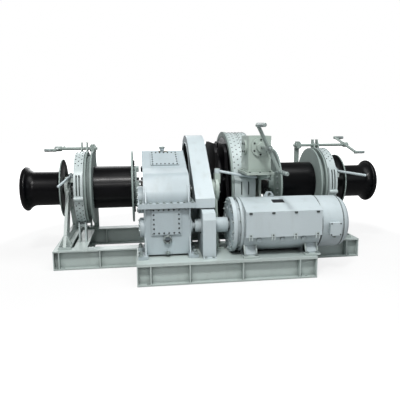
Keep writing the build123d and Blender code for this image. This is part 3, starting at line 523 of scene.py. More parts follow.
# Rivet heads in staggered rows round the shaft
def rivetRecipe():
    s = Shaper("rivetRows", Int="Rows, Columns",
               Float="First Angle, Row Angle, Ring Radius, Axis Height, First X, Column Step, "
                     "Stagger, Rivet")
    rows = s.input("Rows")
    index = s.add("GeometryNodeInputIndex")
    column = (index / rows + 0.001).floor()
    row = index - column * rows + (column % 2.0) * s.input("Stagger")
    angle = s.input("First Angle") + row * s.input("Row Angle")
    ring = s.input("Ring Radius")
    place = s.vector(s.input("First X") + column * s.input("Column Step"), ring * angle.cos(),
                     s.input("Axis Height") + ring * angle.sin())
    dots = s.add("GeometryNodePoints", {"Count": rows * s.input("Columns"), "Position": place})
    outward = s.add("GeometryNodeStoreNamedAttribute",
                    {"Geometry": dots, "Name": "facing", 3: s.vector(0.0, angle.cos(), angle.sin())},
                    data_type="FLOAT_VECTOR")
    rivet = s.input("Rivet")
    rim = rivet * 0.86
    head = s.join(s.drum(10, rivet, rim, 0.0, rivet * 0.3),
                  s.drum(10, rim, rivet * 0.4, rivet * 0.3, rivet * 0.28))
    placed = s.add("GeometryNodeInstanceOnPoints",
                   {"Points": outward, "Instance": head, "Rotation": s.aim()})
    return s.close(placed)


# A skin turned about the shaft from a drawn profile of length and radius
def turnedRecipe():
    s = Shaper("turnedSkin", Object="Profile", Int="Around, Along", Float="Axis Height")
    drawn = s.add("GeometryNodeObjectInfo", {"Object": s.input("Profile")}, "Geometry")
    grid = s.add("GeometryNodeMeshGrid",
                 {"Size X": 1.0, "Size Y": 1.0, "Vertices X": s.input("Around") + 1.0,
                  "Vertices Y": s.input("Along") + 1.0})
    here = s.add("GeometryNodeInputPosition")
    across, along = (part + 0.5 for part in s.parts(here)[:2])
    point = (along * s.input("Along") + 0.5).floor()
    sample = s.add("GeometryNodeSampleIndex",
                   {"Geometry": drawn, "Value": here, "Index": point}, data_type="FLOAT_VECTOR")
    length, radius = s.parts(sample)[:2]
    angle = across * (2.0 * math.pi)
    place = s.vector(length, radius * angle.cos(), s.input("Axis Height") + radius * angle.sin())
    skin = s.add("GeometryNodeSetPosition", {"Geometry": grid, "Position": place})
    skin = s.add("GeometryNodeMergeByDistance", {"Geometry": skin, "Distance": 0.00003})
    return s.close(s.smooth(skin))


# A bead along drawn lines: rippled for a weld, even for a rolled edge
def beadRecipe():
    s = Shaper("beads", Float="Step, Bead, Ripple", Int="Sides")
    lines = s.add("GeometryNodeMeshToCurve", {"Mesh": s.input("Geometry")})
    even = s.add("GeometryNodeResampleCurve",
                 {"Curve": lines, "Length": s.input("Step")}, mode="LENGTH")
    index = s.add("GeometryNodeInputIndex")
    swell = 1.0 + ((index % 2.0) - 0.5) * s.input("Ripple") * s.random(0.8, 1.2, 7)
    even = s.add("GeometryNodeSetCurveRadius", {"Curve": even, "Radius": swell})
    ring = s.add("GeometryNodeCurvePrimitiveCircle",
                 {"Resolution": s.input("Sides"), "Radius": s.input("Bead")})
    tube = s.add("GeometryNodeCurveToMesh",
                 {"Curve": even, "Profile Curve": ring, "Fill Caps": True})
    return s.close(s.smooth(tube))


bolts, rivets, turned, beads = boltRecipe(), rivetRecipe(), turnedRecipe(), beadRecipe()

# Directions that bolts face
toLeft, toRight, toFront = (-1.0, 0.0, 0.0), (1.0, 0.0, 0.0), (0.0, -1.0, 0.0)
toTop, toDeck = (0.0, 0.0, 1.0), (0.0, 0.0, -1.0)


# A mesh of loose points with a direction and a size each
def pointMesh(name, rows):
    mesh = bpy.data.meshes.new(name)
    mesh.from_pydata([row[0] for row in rows], [], [])
    mesh.attributes.new("facing", "FLOAT_VECTOR", "POINT")
    mesh.attributes.new("size", "FLOAT", "POINT")
    facing, size = mesh.attributes["facing"].data, mesh.attributes["size"].data
    for k, row in enumerate(rows):
        facing[k].vector = row[1]
        size[k].value = row[2] if len(row) > 2 else 1.0
    return mesh


def lineMesh(name, paths, ring=False):
    places, links = [], []
    for path in paths:
        first = len(places)
        places += [tuple(p) for p in path]
        links += [(first + k, first + k + 1) for k in range(len(path) - 1)]
        if ring:
            links.append((first + len(path) - 1, first))
    mesh = bpy.data.meshes.new(name)
    mesh.from_pydata(places, links, [])
    return mesh


def addBolts(name, rows, body="base", look="greyBolt",
             head=0.014, height=0.013, washer=1.35):
    grow(name, bolts, pointMesh(name, rows),
         {"Head": head, "Height": height, "Washer": washer, "Turn Seed": len(rows),
          "Finish": finish[look]}, body)


def addBead(name, paths, bead, look, step=0.012, ripple=0.25, sides=6, ring=False):
    grow(name, beads, lineMesh(name, paths, ring),
         {"Step": step, "Bead": bead, "Ripple": ripple, "Sides": sides, "Finish": finish[look]},
         "base", True)


def circle(radius, count, first=0.0):
    turns = [first + 2.0 * math.pi * k / count for k in range(count)]
    return [(radius * math.cos(a), radius * math.sin(a)) for a in turns]


# A closed ring of points about a line along X
def hoop(x, radius, y=0.0, z=shaftHeight, steps=120):
    return [(x, y + u, z + v) for u, v in circle(radius, steps)]


# Bolts in a ring that faces along X or Y
def ringOfBolts(way, centre, radius, count, first=0.0, size=1.0):
    x, y, z = centre
    return [((x, y + u, z + v) if way[0] else (x + u, y, z + v), way, size)
            for u, v in circle(radius, count, first)]


# All rings of a plan, in its order
def ringsOf(plan):
    return [row for ring in plan.values() for row in ringOfBolts(*ring)]


# All upright bolts of a plan: each entry has its x places, y places, height and size
def gridsOf(plan):
    return [((x, y, z), toTop, size) for xs, ys, z, size in plan.values() for x in xs for y in ys]


def rowOfBolts(start, end, count, facing):
    return [(tuple(a + (b - a) * k / (count - 1) for a, b in zip(start, end)), facing)
            for k in range(count)]


# A point at w along an axis, and at u and v across it
def along(axis, w, u, v):
    return {"x": (w, u, v), "y": (u, w, v), "z": (u, v, w)}[axis]


# Turns a bmesh into a piece in its finish
def release(name, shape, look, body):
    mesh = bpy.data.meshes.new(name)
    shape.to_mesh(mesh)
    shape.free()
    mesh.materials.append(finish[look])
    return settle(name, mesh, body)


# Pieces cut from plate: bevelled prisms collected in one mesh
class PlateWork:
    def __init__(self, name, bevel=0.002, segments=2):
        self.name = name
        self.bevel = bevel
        self.segments = segments
        self.shape = bmesh.new()

    def prism(self, outline, axis, low, high):
        near, far = ([self.shape.verts.new(along(axis, w, u, v)) for u, v in outline]
                     for w in (low, high))
        self.shape.faces.new(near)
        self.shape.faces.new(list(reversed(far)))
        for k in range(len(near)):
            n = (k + 1) % len(near)
            self.shape.faces.new((near[n], near[k], far[k], far[n]))

    def block(self, x0, x1, y0, y1, z0, z1):
        self.prism([(x0, y0), (x1, y0), (x1, y1), (x0, y1)], "z", z0, z1)

    # A block given by how far it reaches from a point
    def blockAt(self, x, y, z, reach):
        self.block(*(at + far for at, far in zip((x, x, y, y, z, z), reach)))

    def finish(self, look, slot="grey_paint"):
        bmesh.ops.recalc_face_normals(self.shape, faces=self.shape.faces)
        piece = release(self.name, self.shape, look, "base")
        soft = piece.modifiers.new("softEdges", "BEVEL")
        soft.width = self.bevel
        soft.segments = self.segments
        soft.limit_method = "ANGLE"


# Small turned things: a profile of length and radius about any line
def lathe(name, centre, axis, profile, look, body="base", slot="grey_paint", sides=32):
    shape = bmesh.new()
    rings = []
    for length, radius in profile:
        points = [along(axis, length, u, v) for u, v in circle(radius, sides)]
        rings.append([shape.verts.new(Vector(centre) + Vector(point)) for point in points])
    for first, second in zip(rings, rings[1:]):
        for k in range(sides):
            n = (k + 1) % sides
            shape.faces.new((first[k], first[n], second[n], second[k]))
    shape.faces.new(rings[0])
    shape.faces.new(rings[-1])
    bmesh.ops.recalc_face_normals(shape, faces=shape.faces)
    for face in shape.faces:
        face.smooth = len(face.verts) == 4
    for edge in shape.edges:
        edge.smooth = edge.calc_face_angle(0.0) < 0.6
    release(name, shape, look, body)


print("warping heads")
headPlan = {"leftEnd": -2.25, "rightEnd": 2.165, "length": 0.48, "disc": 0.35, "discWidth": 0.034,
            "edge": 0.014, "barrel": 0.205, "lip": 0.266, "lipWidth": 0.09, "bore": 0.0751,
            "around": 112, "face": [(0.0, 0.215, 0.006), (0.012, 0.2, 0.006),
                                    (0.012, 0.12, 0.006), (0.0, 0.112, 0.004)]}


# Corners given with a radius become short arcs
def softCorners(corners, steps=5):
    out = []
    count = len(corners)
    for k, (x, r, soft) in enumerate(corners):
        if soft <= 0.0:
            out.append((x, r))
            continue
        here = Vector((x, r))
        back = Vector(corners[k - 1][:2]) - here
        ahead = Vector(corners[(k + 1) % count][:2]) - here
        cut = min(soft, back.length * 0.49, ahead.length * 0.49)
        a, b = here + back.normalized() * cut, here + ahead.normalized() * cut
        for n in range(steps + 1):
            t = n / steps
            p = (1 - t) ** 2 * a + 2 * t * (1 - t) * here + t ** 2 * b
            out.append((p.x, p.y))
    return out


def makeHead(name, node, end, side, plan):
    disc, lip = plan["length"], plan["lipWidth"]
    inner = disc - plan["discWidth"]
    corners = [(disc, plan["bore"], 0.0), (disc, plan["disc"], 0.004),
               (disc - plan["edge"], plan["disc"], 0.005), (inner, plan["barrel"] + 0.03, 0.01),
               (inner - 0.014, plan["barrel"], 0.012), (lip + 0.036, plan["barrel"], 0.034),
               (lip - 0.012, plan["lip"] - 0.03, 0.02), (lip - 0.034, plan["lip"], 0.026),
               (0.03, plan["lip"], 0.02), (0.0, plan["lip"] - 0.028, 0.024)]
    line = softCorners(corners + plan["face"] + [(0.0, plan["bore"], 0.0)])
    line.append(line[0])
    drawn = lineMesh(name + "Line", [[(end - side * x, r, 0.0) for x, r in line]])
    profile = show(name + "Profile", drawn)
    piece = grow(name, turned, pointMesh(name, [((0, 0, 0), toTop)]),
                 {"Profile": profile, "Around": plan["around"], "Along": len(line) - 1,
                  "Axis Height": shaftHeight, "Finish": finish["head"]},
                 "main_shaft", True)
    bpy.data.objects.remove(profile)
    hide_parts(node)


makeHead("leftHead", "warping_head_left", headPlan["leftEnd"], -1.0, headPlan)
makeHead("rightHead", "warping_head_right", headPlan["rightEnd"], 1.0, headPlan)

capPlan = {"radius": 0.098, "thick": 0.01, "edge": 0.003, "boltRing": 0.065, "bolts": 6}
for name, end, side in (("leftShaftCap", -2.238, -1.0), ("rightShaftCap", 2.153, 1.0)):
    radius, thick, edge = capPlan["radius"], capPlan["thick"], capPlan["edge"]
    outline = ((0.0, radius), (thick - edge, radius), (thick, radius - edge), (thick, 0.001))
    lathe(name, (end, 0.0, shaftHeight), "x", [(side * d, r) for d, r in outline], "darkBolt",
          "main_shaft", "black_paint")
    rows = ringOfBolts((side, 0.0, 0.0), (end + side * thick, 0.0, shaftHeight),
                       capPlan["boltRing"], capPlan["bolts"])
    addBolts(name + "Bolts", rows, "main_shaft", "darkBolt", 0.012, 0.008)

print("gearbox dressing")
boxPlan = {"x0": -0.826, "x1": -0.345, "y0": -1.05, "flangeTop": 0.80, "flangeLow": 0.75}
flangeRows = {
    "front": ((-0.756, -1.082), (-0.405, -1.082), 6),
    "leftFront": ((-0.856, -1.08), (-0.856, -0.88), 3),
    "leftBack": ((-0.856, -0.44), (-0.856, -0.32), 2),
    "rightFront": ((-0.321, -1.08), (-0.321, -0.84), 4),
    "rightBack": ((-0.321, -0.5), (-0.321, -0.32), 3),
}
coverPlan = {"x0": -0.745, "x1": -0.45, "z0": 0.468, "z1": 0.745, "face": -1.072, "inset": 0.017,
             "sideInset": 0.065, "lip": 0.012, "lipTop": 0.01, "lipFoot": 0.022}
roofPlan = {"x0": -0.732, "x1": -0.42, "y0": -0.6508, "y1": -0.3515, "creaseY": -0.7,
            "creaseZ": 1.13, "slope": 0.4049, "insetX": 0.02, "insetY": 0.016, "lift": 0.011}
caseFeet = {"row": ((-0.871, -0.3), (-1.138, -1.03, -0.775, -0.69), 0.266, 1.5)}
caseCaps = {
    "shaft": (toLeft, (-0.886, -0.64, 0.775), 0.126, 12, 0.26),
    "pinion": (toRight, (-0.315, -0.678337, 0.875), 0.077, 6, 0.3, 0.7),
}


# A point on the case's sloping roof, lifted square to it
def roofPoint(y, lift):
    slope = roofPlan["slope"]
    run = math.sqrt(1 + slope * slope)
    return (y - lift * slope / run,
            roofPlan["creaseZ"] + (y - roofPlan["creaseY"]) * slope + lift / run)


# Four corners of a thin plate on such a slope
def slab(point, p):
    return [point(p["y0"], p["sink"]), point(p["y1"], p["sink"]),
            point(p["y1"], p["lift"]), point(p["y0"], p["lift"])]


def gearboxBolts():
    c, r = coverPlan, roofPlan
    flange = []
    for z, way in ((boxPlan["flangeTop"], toTop), (boxPlan["flangeLow"], toDeck)):
        for start, end, count in flangeRows.values():
            flange += rowOfBolts((*start, z), (*end, z), count, way)
    addBolts("flangeBolts", flange)
    x0, x1 = c["x0"] + c["inset"], c["x1"] - c["inset"]
    cover = []
    for z in (c["z1"] - c["inset"], c["z0"] + c["inset"]):
        cover += rowOfBolts((x0, c["face"], z), (x1, c["face"], z), 6, toFront)
    z0, z1 = c["z0"] + c["sideInset"], c["z1"] - c["sideInset"]
    for x in (x0, x1):
        cover += rowOfBolts((x, c["face"], z0), (x, c["face"], z1), 4, toFront)
    addBolts("coverBolts", cover, look="darkBolt", head=0.0078, height=0.008, washer=1.2)
    tilt = math.atan(r["slope"])
    lean = (0.0, -math.sin(tilt), math.cos(tilt))
    x0, x1 = r["x0"] + r["insetX"], r["x1"] - r["insetX"]
    y0, y1 = r["y0"] + r["insetY"], r["y1"] - r["insetY"]
    roof = []
    for y in (y0, y1):
        point = roofPoint(y, r["lift"])
        roof += rowOfBolts((x0, *point), (x1, *point), 7, lean)
    for x in (x0, x1):
        roof += [((x, *roofPoint(y0 + k * (y1 - y0) / 5, r["lift"])), lean) for k in range(1, 5)]
    addBolts("roofBolts", roof, look="darkBolt", head=0.009, height=0.008)
    addBolts("caseFootBolts", gridsOf(caseFeet))
    addBolts("capBolts", ringsOf(caseCaps), head=0.012, height=0.011)


ribPlan = {"places": (-0.804, -0.366), "half": 0.007, "outline": [
    (-1.104, 0.8), (-1.104, 0.816), (-1.005, 0.975), (-0.96, 0.975), (-0.96, 0.8)]}
labelPlan = {"x0": -0.632, "x1": -0.527, "y0": -0.343, "y1": -0.312, "sink": -0.001, "lift": 0.003}
gaugeRim = {"centre": (-0.59, -1.074, 0.416), "axis": "y", "look": "greyBolt", "sides": 40,
            "profile": [(0.006, 0.046), (-0.008, 0.046), (-0.011, 0.043), (-0.011, 0.031),
                        (-0.006, 0.029), (-0.006, 0.001)]}
gaugeGlass = {"centre": (-0.59, -1.08, 0.416), "axis": "y", "look": "glass", "sides": 32,
              "profile": [(0.0, 0.0285), (-0.002, 0.0285), (-0.004, 0.02), (-0.005, 0.001)]}
gaugeScrews = (toFront, (-0.59, -1.085, 0.416), 0.037, 6)
inputCap = {"centre": (-0.826, -0.96, 0.53), "axis": "x", "look": "caseEnamel", "sides": 40,
            "profile": [(0.002, 0.105), (-0.038, 0.105), (-0.046, 0.097), (-0.046, 0.066),
                        (-0.056, 0.06), (-0.056, 0.001)]}
inputCapBolts = (toLeft, (-0.872, -0.96, 0.53), 0.083, 8, 0.2, 0.8)
drainPlug = {"place": (-0.59, -1.074, 0.272), "head": 0.019, "height": 0.022}
breather = {"centre": (-0.592, -0.33, 1.326), "axis": "z", "look": "greyBolt", "sides": 28,
            "profile": [(-0.03, 0.014), (-0.004, 0.014), (0.0, 0.034), (0.012, 0.036),
                        (0.02, 0.03), (0.024, 0.012), (0.025, 0.001)]}


def gearboxTrim():
    ribs = PlateWork("caseRibs", 0.002)
    for x in ribPlan["places"]:
        ribs.prism(ribPlan["outline"], "x", x - ribPlan["half"], x + ribPlan["half"])
    ribs.finish("caseEnamel")
    c, wide = coverPlan, coverPlan["lip"]
    x0, x1, z0, z1 = c["x0"], c["x1"], c["z0"], c["z1"]
    lip = PlateWork("coverLip", 0.0015)
    for sides in ((x0 - wide, x1 + wide, z1, z1 + wide), (x0 - wide, x1 + wide, z0 - wide, z0),
                  (x0 - wide, x0, z0, z1), (x1, x1 + wide, z0, z1)):
        lip.block(*sides[:2], c["face"] + c["lipTop"], c["face"] + c["lipFoot"], *sides[2:])
    lip.finish("caseEnamel")
    p = labelPlan
    label = PlateWork("bareLabel", 0.0008)
    label.prism(slab(roofPoint, p), "x", p["x0"], p["x1"])
    label.finish("brass", "machined_steel")
    lathe("gaugeRim", slot="machined_steel", **gaugeRim)
    lathe("gaugeGlass", slot="machined_steel", **gaugeGlass)
    addBolts("gaugeScrews", ringOfBolts(*gaugeScrews), look="darkBolt",
             head=0.0045, height=0.004)
    lathe("inputCap", **inputCap)
    addBolts("inputCapBolts", ringOfBolts(*inputCapBolts))
    addBolts("drainPlug", [(drainPlug["place"], toFront)], head=drainPlug["head"],
             height=drainPlug["height"], washer=1.2)
    lathe("breatherCap", **breather)


gearboxBolts()
gearboxTrim()

print("motor dressing")
motorPlan = {"y": -0.96, "z": 0.53, "coverFace": -1.3, "coverLow": 0.455, "deck": 0.232,
             "latches": (0.241, 0.477, 0.714, 0.949)}
motorRings = {
    "bell": (toLeft, (0.079, -0.96, 0.53), 0.27, 16, 0.1),
    "body": (toLeft, (0.156, -0.96, 0.53), 0.277, 12, 0.2, 0.75),
    "end": (toRight, (1.345, -0.96, 0.53), 0.16, 10, 0.3, 0.9),
    "bearing": (toRight, (1.357, -0.96, 0.53), 0.066, 6, 0.0, 0.7),
}
motorFeet = {"row": ((0.205, 0.315, 0.863, 0.973), (-1.245, -0.675), 0.252, 1.0)}
motorScrews = [(x, -1.2975, z) for z in (0.568, 0.45) for x in (1.1, 1.199)]
motorScrews += [(x, -1.306, 0.475) for x in motorPlan["latches"]]
bellWindowPlan = {"ring": 0.2, "windows": 8, "radius": 0.0296, "x0": 0.104, "x1": 0.108,
              "barX0": 0.099, "barX1": 0.1038, "reach": 0.0286, "half": 0.0016,
              "bars": (-0.012, 0.0, 0.012)}


def motorBolts():
    addBolts("motorBolts", ringsOf(motorRings), head=0.012, height=0.012)
    addBolts("motorFootBolts", gridsOf(motorFeet), head=0.016, height=0.016)
    screws = [(place, toFront) for place in motorScrews]
    addBolts("motorScrews", screws, look="darkBolt", head=0.006, height=0.006)


# Dark discs sunk in the bell's windows, painted shade for the bell's dark inside, with thin bars
# across each
def bellGrilles():
    g = bellWindowPlan
    dark = PlateWork("bellGrilles", 0.0006, 1)
    bars = PlateWork("bellBars", 0.0008, 1)
    for u, v in circle(g["ring"], g["windows"], math.pi / g["windows"]):
        y, z = motorPlan["y"] + u, motorPlan["z"] + v
        window = [(y + du, z + dv) for du, dv in circle(g["radius"], 24)]
        dark.prism(window, "x", g["x0"], g["x1"])
        for lean in g["bars"]:
            across = math.sqrt(g["reach"] ** 2 - lean ** 2)
            bars.block(g["barX0"], g["barX1"], y - across, y + across,
                       z + lean - g["half"], z + lean + g["half"])
    dark.finish("blackout", "machined_steel")
    bars.finish("darkBolt", "machined_steel")


latchParts = {"plate": (-0.02, 0.02, -0.007, 0.001, 0.002, 0.036),
              "leftLeg": (-0.02, -0.009, -0.007, 0.012, -0.034, 0.003),
              "rightLeg": (0.009, 0.02, -0.007, 0.012, -0.034, 0.003),
              "tongue": (-0.02, 0.02, 0.001, 0.05, -0.012, -0.004)}
hingePlan = (-0.016, 0.016, -0.004, 0.006, 0.694, 0.712)
knobPlan = {"places": (0.346, 0.595, 0.825), "y": -1.205, "z": 0.41,
            "profile": [(0.0, 0.026), (-0.03, 0.026), (-0.036, 0.022), (-0.038, 0.001)]}
footPlan = {"places": (0.19, 0.848), "plate": (-0.012, 0.152), "thick": 0.02,
            "sides": ((-0.312, -0.25), (0.25, 0.312)), "ribs": ((0.0, 0.014), (0.126, 0.14)),
            "outline": ((-0.264, 0.25), (-0.264, 0.3), (-0.2, 0.4), (-0.18, 0.4), (-0.18, 0.25))}
platePlan = {"x0": 0.513, "x1": 0.64, "y0": -1.143, "y1": -1.068, "sink": -0.001, "lift": 0.003,
             "edgeY": -1.0, "edgeZ": 0.82, "slope": 0.26667, "lean": (-0.2577, 0.9662),
             "pinX": (0.519, 0.634), "pinY": (-1.138, -1.073)}
lidPlan = (1.087, 1.212, -1.2975, -1.289, 0.438, 0.58)
glandPlan = {"centre": (1.15, -1.252, 0.443), "axis": "z", "look": "greyBolt", "sides": 20,
             "profile": [(0.004, 0.022), (-0.01, 0.022), (-0.012, 0.017), (-0.03, 0.017),
                         (-0.034, 0.013), (-0.034, 0.001)]}
rearCap = {"centre": (1.345, -0.96, 0.53), "axis": "x", "look": "motorEnamel",
           "profile": [(-0.002, 0.085), (0.009, 0.085), (0.012, 0.082), (0.012, 0.001)]}
seamPlan = {"front": (1.02, 0.2755), "back": (1.262, 0.2655)}


# A point on the motor cover's sloping top, lifted square to it
def coverPoint(y, lift):
    p = platePlan
    return (y + p["lean"][0] * lift,
            p["edgeZ"] + (y - p["edgeY"]) * p["slope"] + p["lean"][1] * lift)


def motorTrim():
    m, f, p = motorPlan, footPlan, platePlan
    latch = PlateWork("coverLatches", 0.0015)
    hinge = PlateWork("coverHinges", 0.002)
    for x in m["latches"]:
        for reach in latchParts.values():
            latch.blockAt(x, m["coverFace"], m["coverLow"], reach)
        hinge.blockAt(x, m["coverFace"], 0.0, hingePlan)
    latch.finish("bandEnamel")
    hinge.finish("darkBolt")
    for k, x in enumerate(knobPlan["places"]):
        lathe("motorKnob%d" % (k + 1), (x, knobPlan["y"], knobPlan["z"]), "y", knobPlan["profile"],
              "motorEnamel", sides=24)
    plates = PlateWork("motorFootPlates", 0.002)
    outline = [(m["y"] + y, z) for y, z in f["outline"]]
    for x in f["places"]:
        for y0, y1 in f["sides"]:
            plates.block(x + f["plate"][0], x + f["plate"][1], m["y"] + y0, m["y"] + y1,
                         m["deck"], m["deck"] + f["thick"])
        for x0, x1 in f["ribs"]:
            plates.prism(outline, "x", x + x0, x + x1)
    plates.finish("frameEnamel")
    label = PlateWork("barePlate", 0.0008)
    label.prism(slab(coverPoint, p), "x", p["x0"], p["x1"])
    label.finish("plate", "machined_steel")
    pins = [((x, *coverPoint(y, p["lift"])), (0.0, *p["lean"]))
            for x in p["pinX"] for y in p["pinY"]]
    addBolts("platePins", pins, head=0.003, height=0.002)
    lid = PlateWork("terminalLid", 0.003)
    lid.block(*lidPlan)
    lid.finish("motorEnamel")
    lathe("cableGland", **glandPlan)
    lathe("rearBearingCap", **rearCap)
    hoops = [hoop(x, radius, m["y"], m["z"], 96) for x, radius in seamPlan.values()]
    addBead("motorSeams", hoops, 0.004, "darkBolt", step=0.02, ripple=0.0, ring=True)


motorBolts()
bellGrilles()
motorTrim()

print("bands and wheels")
rivetPlan = {"pitch": 0.07, "radius": 0.0078, "columns": 3, "stagger": 0.5}
# Radius, place along the shaft, step between columns and the upper and lower arc in degrees
bandPlans = {
    "inner": (0.649, 0.221, 0.044, (33, 166), (191, 344)),
    "outer": (0.649, 0.352, 0.042, (33, 166), (191, 344)),
    "left": (0.44, -1.59, 0.035, (33, 150), (192, 344)),
    "right": (0.44, 1.444, 0.035, (33, 150), (192, 344)),
}
# Direction, place along the shaft, radius and count, then body, look, head and height
discBolts = {
    "leftDrumBolts": (toRight, -0.935, 0.31, 28, "drum_left", "darkBolt", 0.013, 0.014),
    "rightDrumBolts": (toLeft, 0.825, 0.31, 28, "drum_right", "greyBolt", 0.013, 0.014),
    "wheelBolts": (toRight, 0.22, 0.36, 16, "chain_wheel", "darkBolt", 0.016, 0.015),
}


def bandRivets(name, radius, x, step, arc):
    start, end = (math.radians(turn) for turn in arc)
    turn = rivetPlan["pitch"] / radius
    grow(name, rivets, pointMesh(name, [((0, 0, 0), toTop)]),
         {"Rows": int((end - start) / turn), "Columns": rivetPlan["columns"], "First Angle": start,
          "Row Angle": turn, "Ring Radius": radius, "Axis Height": shaftHeight, "First X": x,
          "Column Step": step, "Stagger": rivetPlan["stagger"], "Rivet": rivetPlan["radius"],
          "Finish": finish["darkBolt"]}, "base")


for name, (radius, x, step, upper, lower) in bandPlans.items():
    bandRivets(name + "Rivets", radius, x, step, upper)
    bandRivets(name + "RivetsLow", radius, x, step, lower)
for name, (way, x, radius, count, body, look, head, height) in discBolts.items():
    rows = ringOfBolts(way, (x, 0.0, shaftHeight), radius, count, 0.1)
    addBolts(name, rows, body, look, head, height)

guardPlan = {"faces": (-0.288, -0.082), "radius": 0.53, "bead": 0.006}
addBead("guardEdge", [hoop(x, guardPlan["radius"]) for x in guardPlan["faces"]], guardPlan["bead"],
        "motorEnamel", step=0.03, ripple=0.0, ring=True)

print("stands and frame")
standFeet = {
    "leftStand": ((-1.768, -1.676), (-0.545, -0.395, 0.375, 0.525), 0.245, 1.0),
    "rightStand": ((1.559, 1.651), (-0.545, -0.395, 0.24, 0.39), 0.245, 1.0),
    "innerStand": ((-0.524, -0.446), (-0.08, 0.32), 0.245, 1.0),
    "midStand": ((0.529, 0.576, 0.643), (-0.55, -0.33, 0.33, 0.53), 0.245, 0.9),
    "leftPost": ((-1.634, -1.565, -1.495), (0.454,), 0.245, 0.85),
    "rightPost": ((1.3, 1.45, 1.59), (0.454,), 0.245, 0.85),
    "pinionStand": ((-0.058, 0.018), (-0.852, -0.668), 0.254, 1.0),
    "guardFeet": ((-0.205, -0.125), (-1.208, -0.712), 0.24, 0.8),
}
shelfBolts = {"row": ((0.29, 0.4, 0.51), (-1.032,), 1.09, 1.0)}
columnFront = (toFront, (0.412, -1.006, 1.354), 0.078, 6, 0.5, 0.85)
columnSide = (toLeft, (0.266, -0.84, 1.346), 0.058, 4, 0.78)
bearingRings = {
    "left": (toRight, (-1.687, 0.0, shaftHeight), 0.122, 8, 0.2),
    "right": (toRight, (1.64, 0.0, shaftHeight), 0.12, 8, 0.2),
    "pinion": (toRight, (0.012, -0.678337, 0.875), 0.09, 6, 0.2),
}
cranks = {
    "left": {"nut": (-1.919, 0.44, 1.302), "way": toLeft, "grip": (-1.909, 0.44, 1.302),
             "reach": 0.343, "tilt": 0.0, "length": 0.097},
    "right": {"nut": (2.064, 0.44, 1.302), "way": toRight, "grip": (2.054, 0.44, 1.302),
              "reach": 0.343, "tilt": 15.0, "length": 0.097},
    "mid": {"nut": (0.412, -1.332, 1.354), "way": toFront, "grip": (0.412, -1.33, 1.354),
            "reach": 0.256, "tilt": 116.0, "length": 0.221},
}


def standBolts():
    addBolts("footBolts", gridsOf(standFeet), head=0.015, height=0.015)
    column = ringOfBolts(*columnFront) + gridsOf(shelfBolts) + ringOfBolts(*columnSide)
    addBolts("columnBolts", column, look="darkBolt", head=0.0095, height=0.008)
    addBolts("bearingBolts", ringsOf(bearingRings), head=0.009, height=0.009)
    for name, plan in cranks.items():
        addBolts(name + "HubNut", [(plan["nut"], plan["way"])], "crank_" + name, head=0.017,
                 height=0.014)


framePlan = {"low": 0.016, "high": 0.204, "seam": 0.245, "web": 0.006, "inset": 0.004,
             "stiffener": 0.012, "stiffenerReach": 0.066, "bead": 0.0045}
# From x, to x, y and the stiffeners
frameBeams = {
    "front": (-0.914, 0.955, -1.235, (-0.782, -0.387, 0.162, 0.765)),
    "rear": (-1.842, 1.745, -0.565, (-1.785, -1.335, 1.18, 1.59)),
    "back": (-1.842, 1.745, 0.51, (-1.785, -1.335, 1.18, 1.59)),
}
# From y, to y and the places along x
standSeams = {
    "leftStand": (-0.56, 0.54, (-1.739, -1.705)),
    "rightStand": (-0.56, 0.405, (1.588, 1.622)),
    "midStand": (-0.54, 0.54, (0.48, 0.51, 0.594, 0.624)),
}
caseSeams = {"flange": (0.752, 0.799), "corner": (0.26, 0.75), "out": 0.0005, "bead": 0.004,
             "roof": ((-0.70, 1.13), (-0.29, 1.296))}


def frameWelds():
    p, c = framePlan, caseSeams
    low, high = p["low"], p["high"]
    paths = []
    for x0, x1, y, stiffeners in frameBeams.values():
        for side in (-1.0, 1.0):
            at, reach = y + side * p["web"], y + side * p["stiffenerReach"]
            for z in (low, high):
                paths.append([(x0 + p["inset"], at, z), (x1 - p["inset"], at, z)])
            for x in stiffeners:
                for edge in (x, x + p["stiffener"]):
                    paths.append([(edge, at, low), (edge, at, high)])
                    paths.append([(edge, at, high), (edge, reach, high)])
    for y0, y1, places in standSeams.values():
        paths += [[(x, y0, p["seam"]), (x, y1, p["seam"])] for x in places]
    addBead("frameWelds", paths, p["bead"], "weld")
    x0, x1, y = boxPlan["x0"], boxPlan["x1"], boxPlan["y0"]
    case = [[(x0, y, z), (x1, y, z)] for z in c["flange"]]
    case += [[(x, y + c["out"], z) for z in c["corner"]] for x in (x0, x1)]
    case += [[(x, *point) for point in c["roof"]] for x in (x0, x1)]
    addBead("caseWelds", case, c["bead"], "caseEnamel")


gripPlan = {"radius": 0.0195, "collar": 0.004, "rise": 0.003, "swell": 0.0012, "end": 0.006}


def gripSleeves():
    r, e = gripPlan["radius"], gripPlan["end"]
    for name, plan in cranks.items():
        long, way, (x, y, z) = plan["length"], plan["way"], plan["grip"]
        side = way[0] or way[1]
        outline = ((0.0, r - gripPlan["collar"]), (gripPlan["rise"], r),
                   (long * 0.5, r + gripPlan["swell"]), (long - e, r), (long, r - e),
                   (long + 0.001, 0.001))
        for k, end in enumerate((-1.0, 1.0)):
            across = end * plan["reach"] * math.cos(math.radians(plan["tilt"]))
            rise = end * plan["reach"] * math.sin(math.radians(plan["tilt"]))
            centre = (x, y + across, z + rise) if way[0] else (x + across, y, z + rise)
            lathe("%sGrip%d" % (name, k + 1), centre, "x" if way[0] else "y",
                  [(side * d, radius) for d, radius in outline], "greyBolt", "crank_" + name,
                  sides=24)


standBolts()
frameWelds()
gripSleeves()

print("floor and light")
stagePlan = {"half": 40.0, "tone": 0.36, "lift": 0.5, "glow": 1.64, "near": 2.8, "far": 5.0,
             "sky": 0.2}


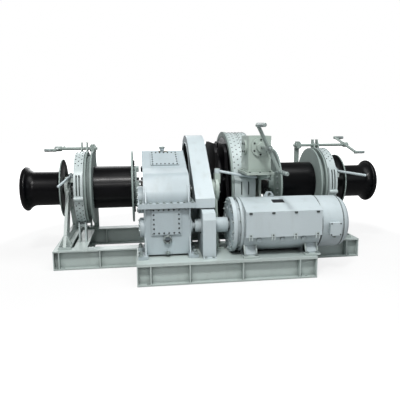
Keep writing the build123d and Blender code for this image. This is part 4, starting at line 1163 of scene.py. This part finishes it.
def makeFloor(plan):
    f = Finish("paleFloor")
    tone, half = plan["tone"], plan["half"]
    f.set(Base_Color=(tone, tone, tone, 1.0), Roughness=1.0, Specular_IOR_Level=0.0)
    seen = f.add("ShaderNodeLightPath", out="Is Camera Ray")
    glow = f.add("ShaderNodeEmission", {"Color": (1.0, 1.0, 1.0, 1.0), "Strength": plan["glow"]})
    x, y = f.axes()[:2]
    away = f.spread((x * x + y * y).root(), plan["near"], plan["far"])
    share = plan["lift"] + away * (1.0 - plan["lift"])
    dull = Value(f.tree, f.shader.outputs[0])
    both = f.add("ShaderNodeMixShader", {0: seen * share, 1: dull, 2: glow})
    f.feed(f.output.inputs["Surface"], both)
    mesh = bpy.data.meshes.new("floor")
    corners = [(-half, -half, 0), (half, -half, 0), (half, half, 0), (-half, half, 0)]
    mesh.from_pydata(corners, [], [(0, 1, 2, 3)])
    mesh.materials.append(f.material)
    show("floor", mesh)


# White to the camera, a plain grey light to the rest
def makeSky(share):
    world = bpy.data.worlds.new("world")
    bpy.context.scene.world = world
    world.use_nodes = True
    sky = Recipe(world.node_tree)
    back = world.node_tree.nodes["Background"]
    back.inputs["Color"].default_value = (1.0, 1.0, 1.0, 1.0)
    seen = sky.add("ShaderNodeLightPath", out="Is Camera Ray")
    sky.feed(back.inputs["Strength"], seen * (1.0 - share) + share)


lampAim = (0.0, -0.3, 0.6)
lamps = {
    "key": {"place": (-1.6, -5.4, 6.8), "size": 1.0, "power": 315.0, "colour": (1.0, 0.995, 0.985)},
    "low": {"place": (-1.6, -6.2, 3.3), "size": 0.9, "power": 46.0, "colour": (1.0, 1.0, 1.0)},
    "top": {"place": (1.2, -1.8, 7.0), "size": 4.0, "power": 180.0, "colour": (0.97, 0.99, 1.0)},
    "fill": {"place": (5.5, -4.5, 3.4), "size": 3.0, "power": 30.0, "colour": (0.86, 0.94, 1.0)},
    "back": {"place": (-1.5, 6.0, 3.6), "size": 4.0, "power": 150.0, "colour": (0.97, 0.99, 1.0)},
}


def makeLamp(name, plan):
    data = bpy.data.lights.new(name, "AREA")
    data.size = plan["size"]
    data.energy = plan["power"]
    data.color = plan["colour"]
    lamp = show(name, data)
    aim = (Vector(lampAim) - Vector(plan["place"])).to_track_quat("-Z", "Y")
    lamp.matrix_world = Matrix.Translation(plan["place"]) @ aim.to_matrix().to_4x4()


makeFloor(stagePlan)
makeSky(stagePlan["sky"])
for name, plan in lamps.items():
    makeLamp(name, plan)
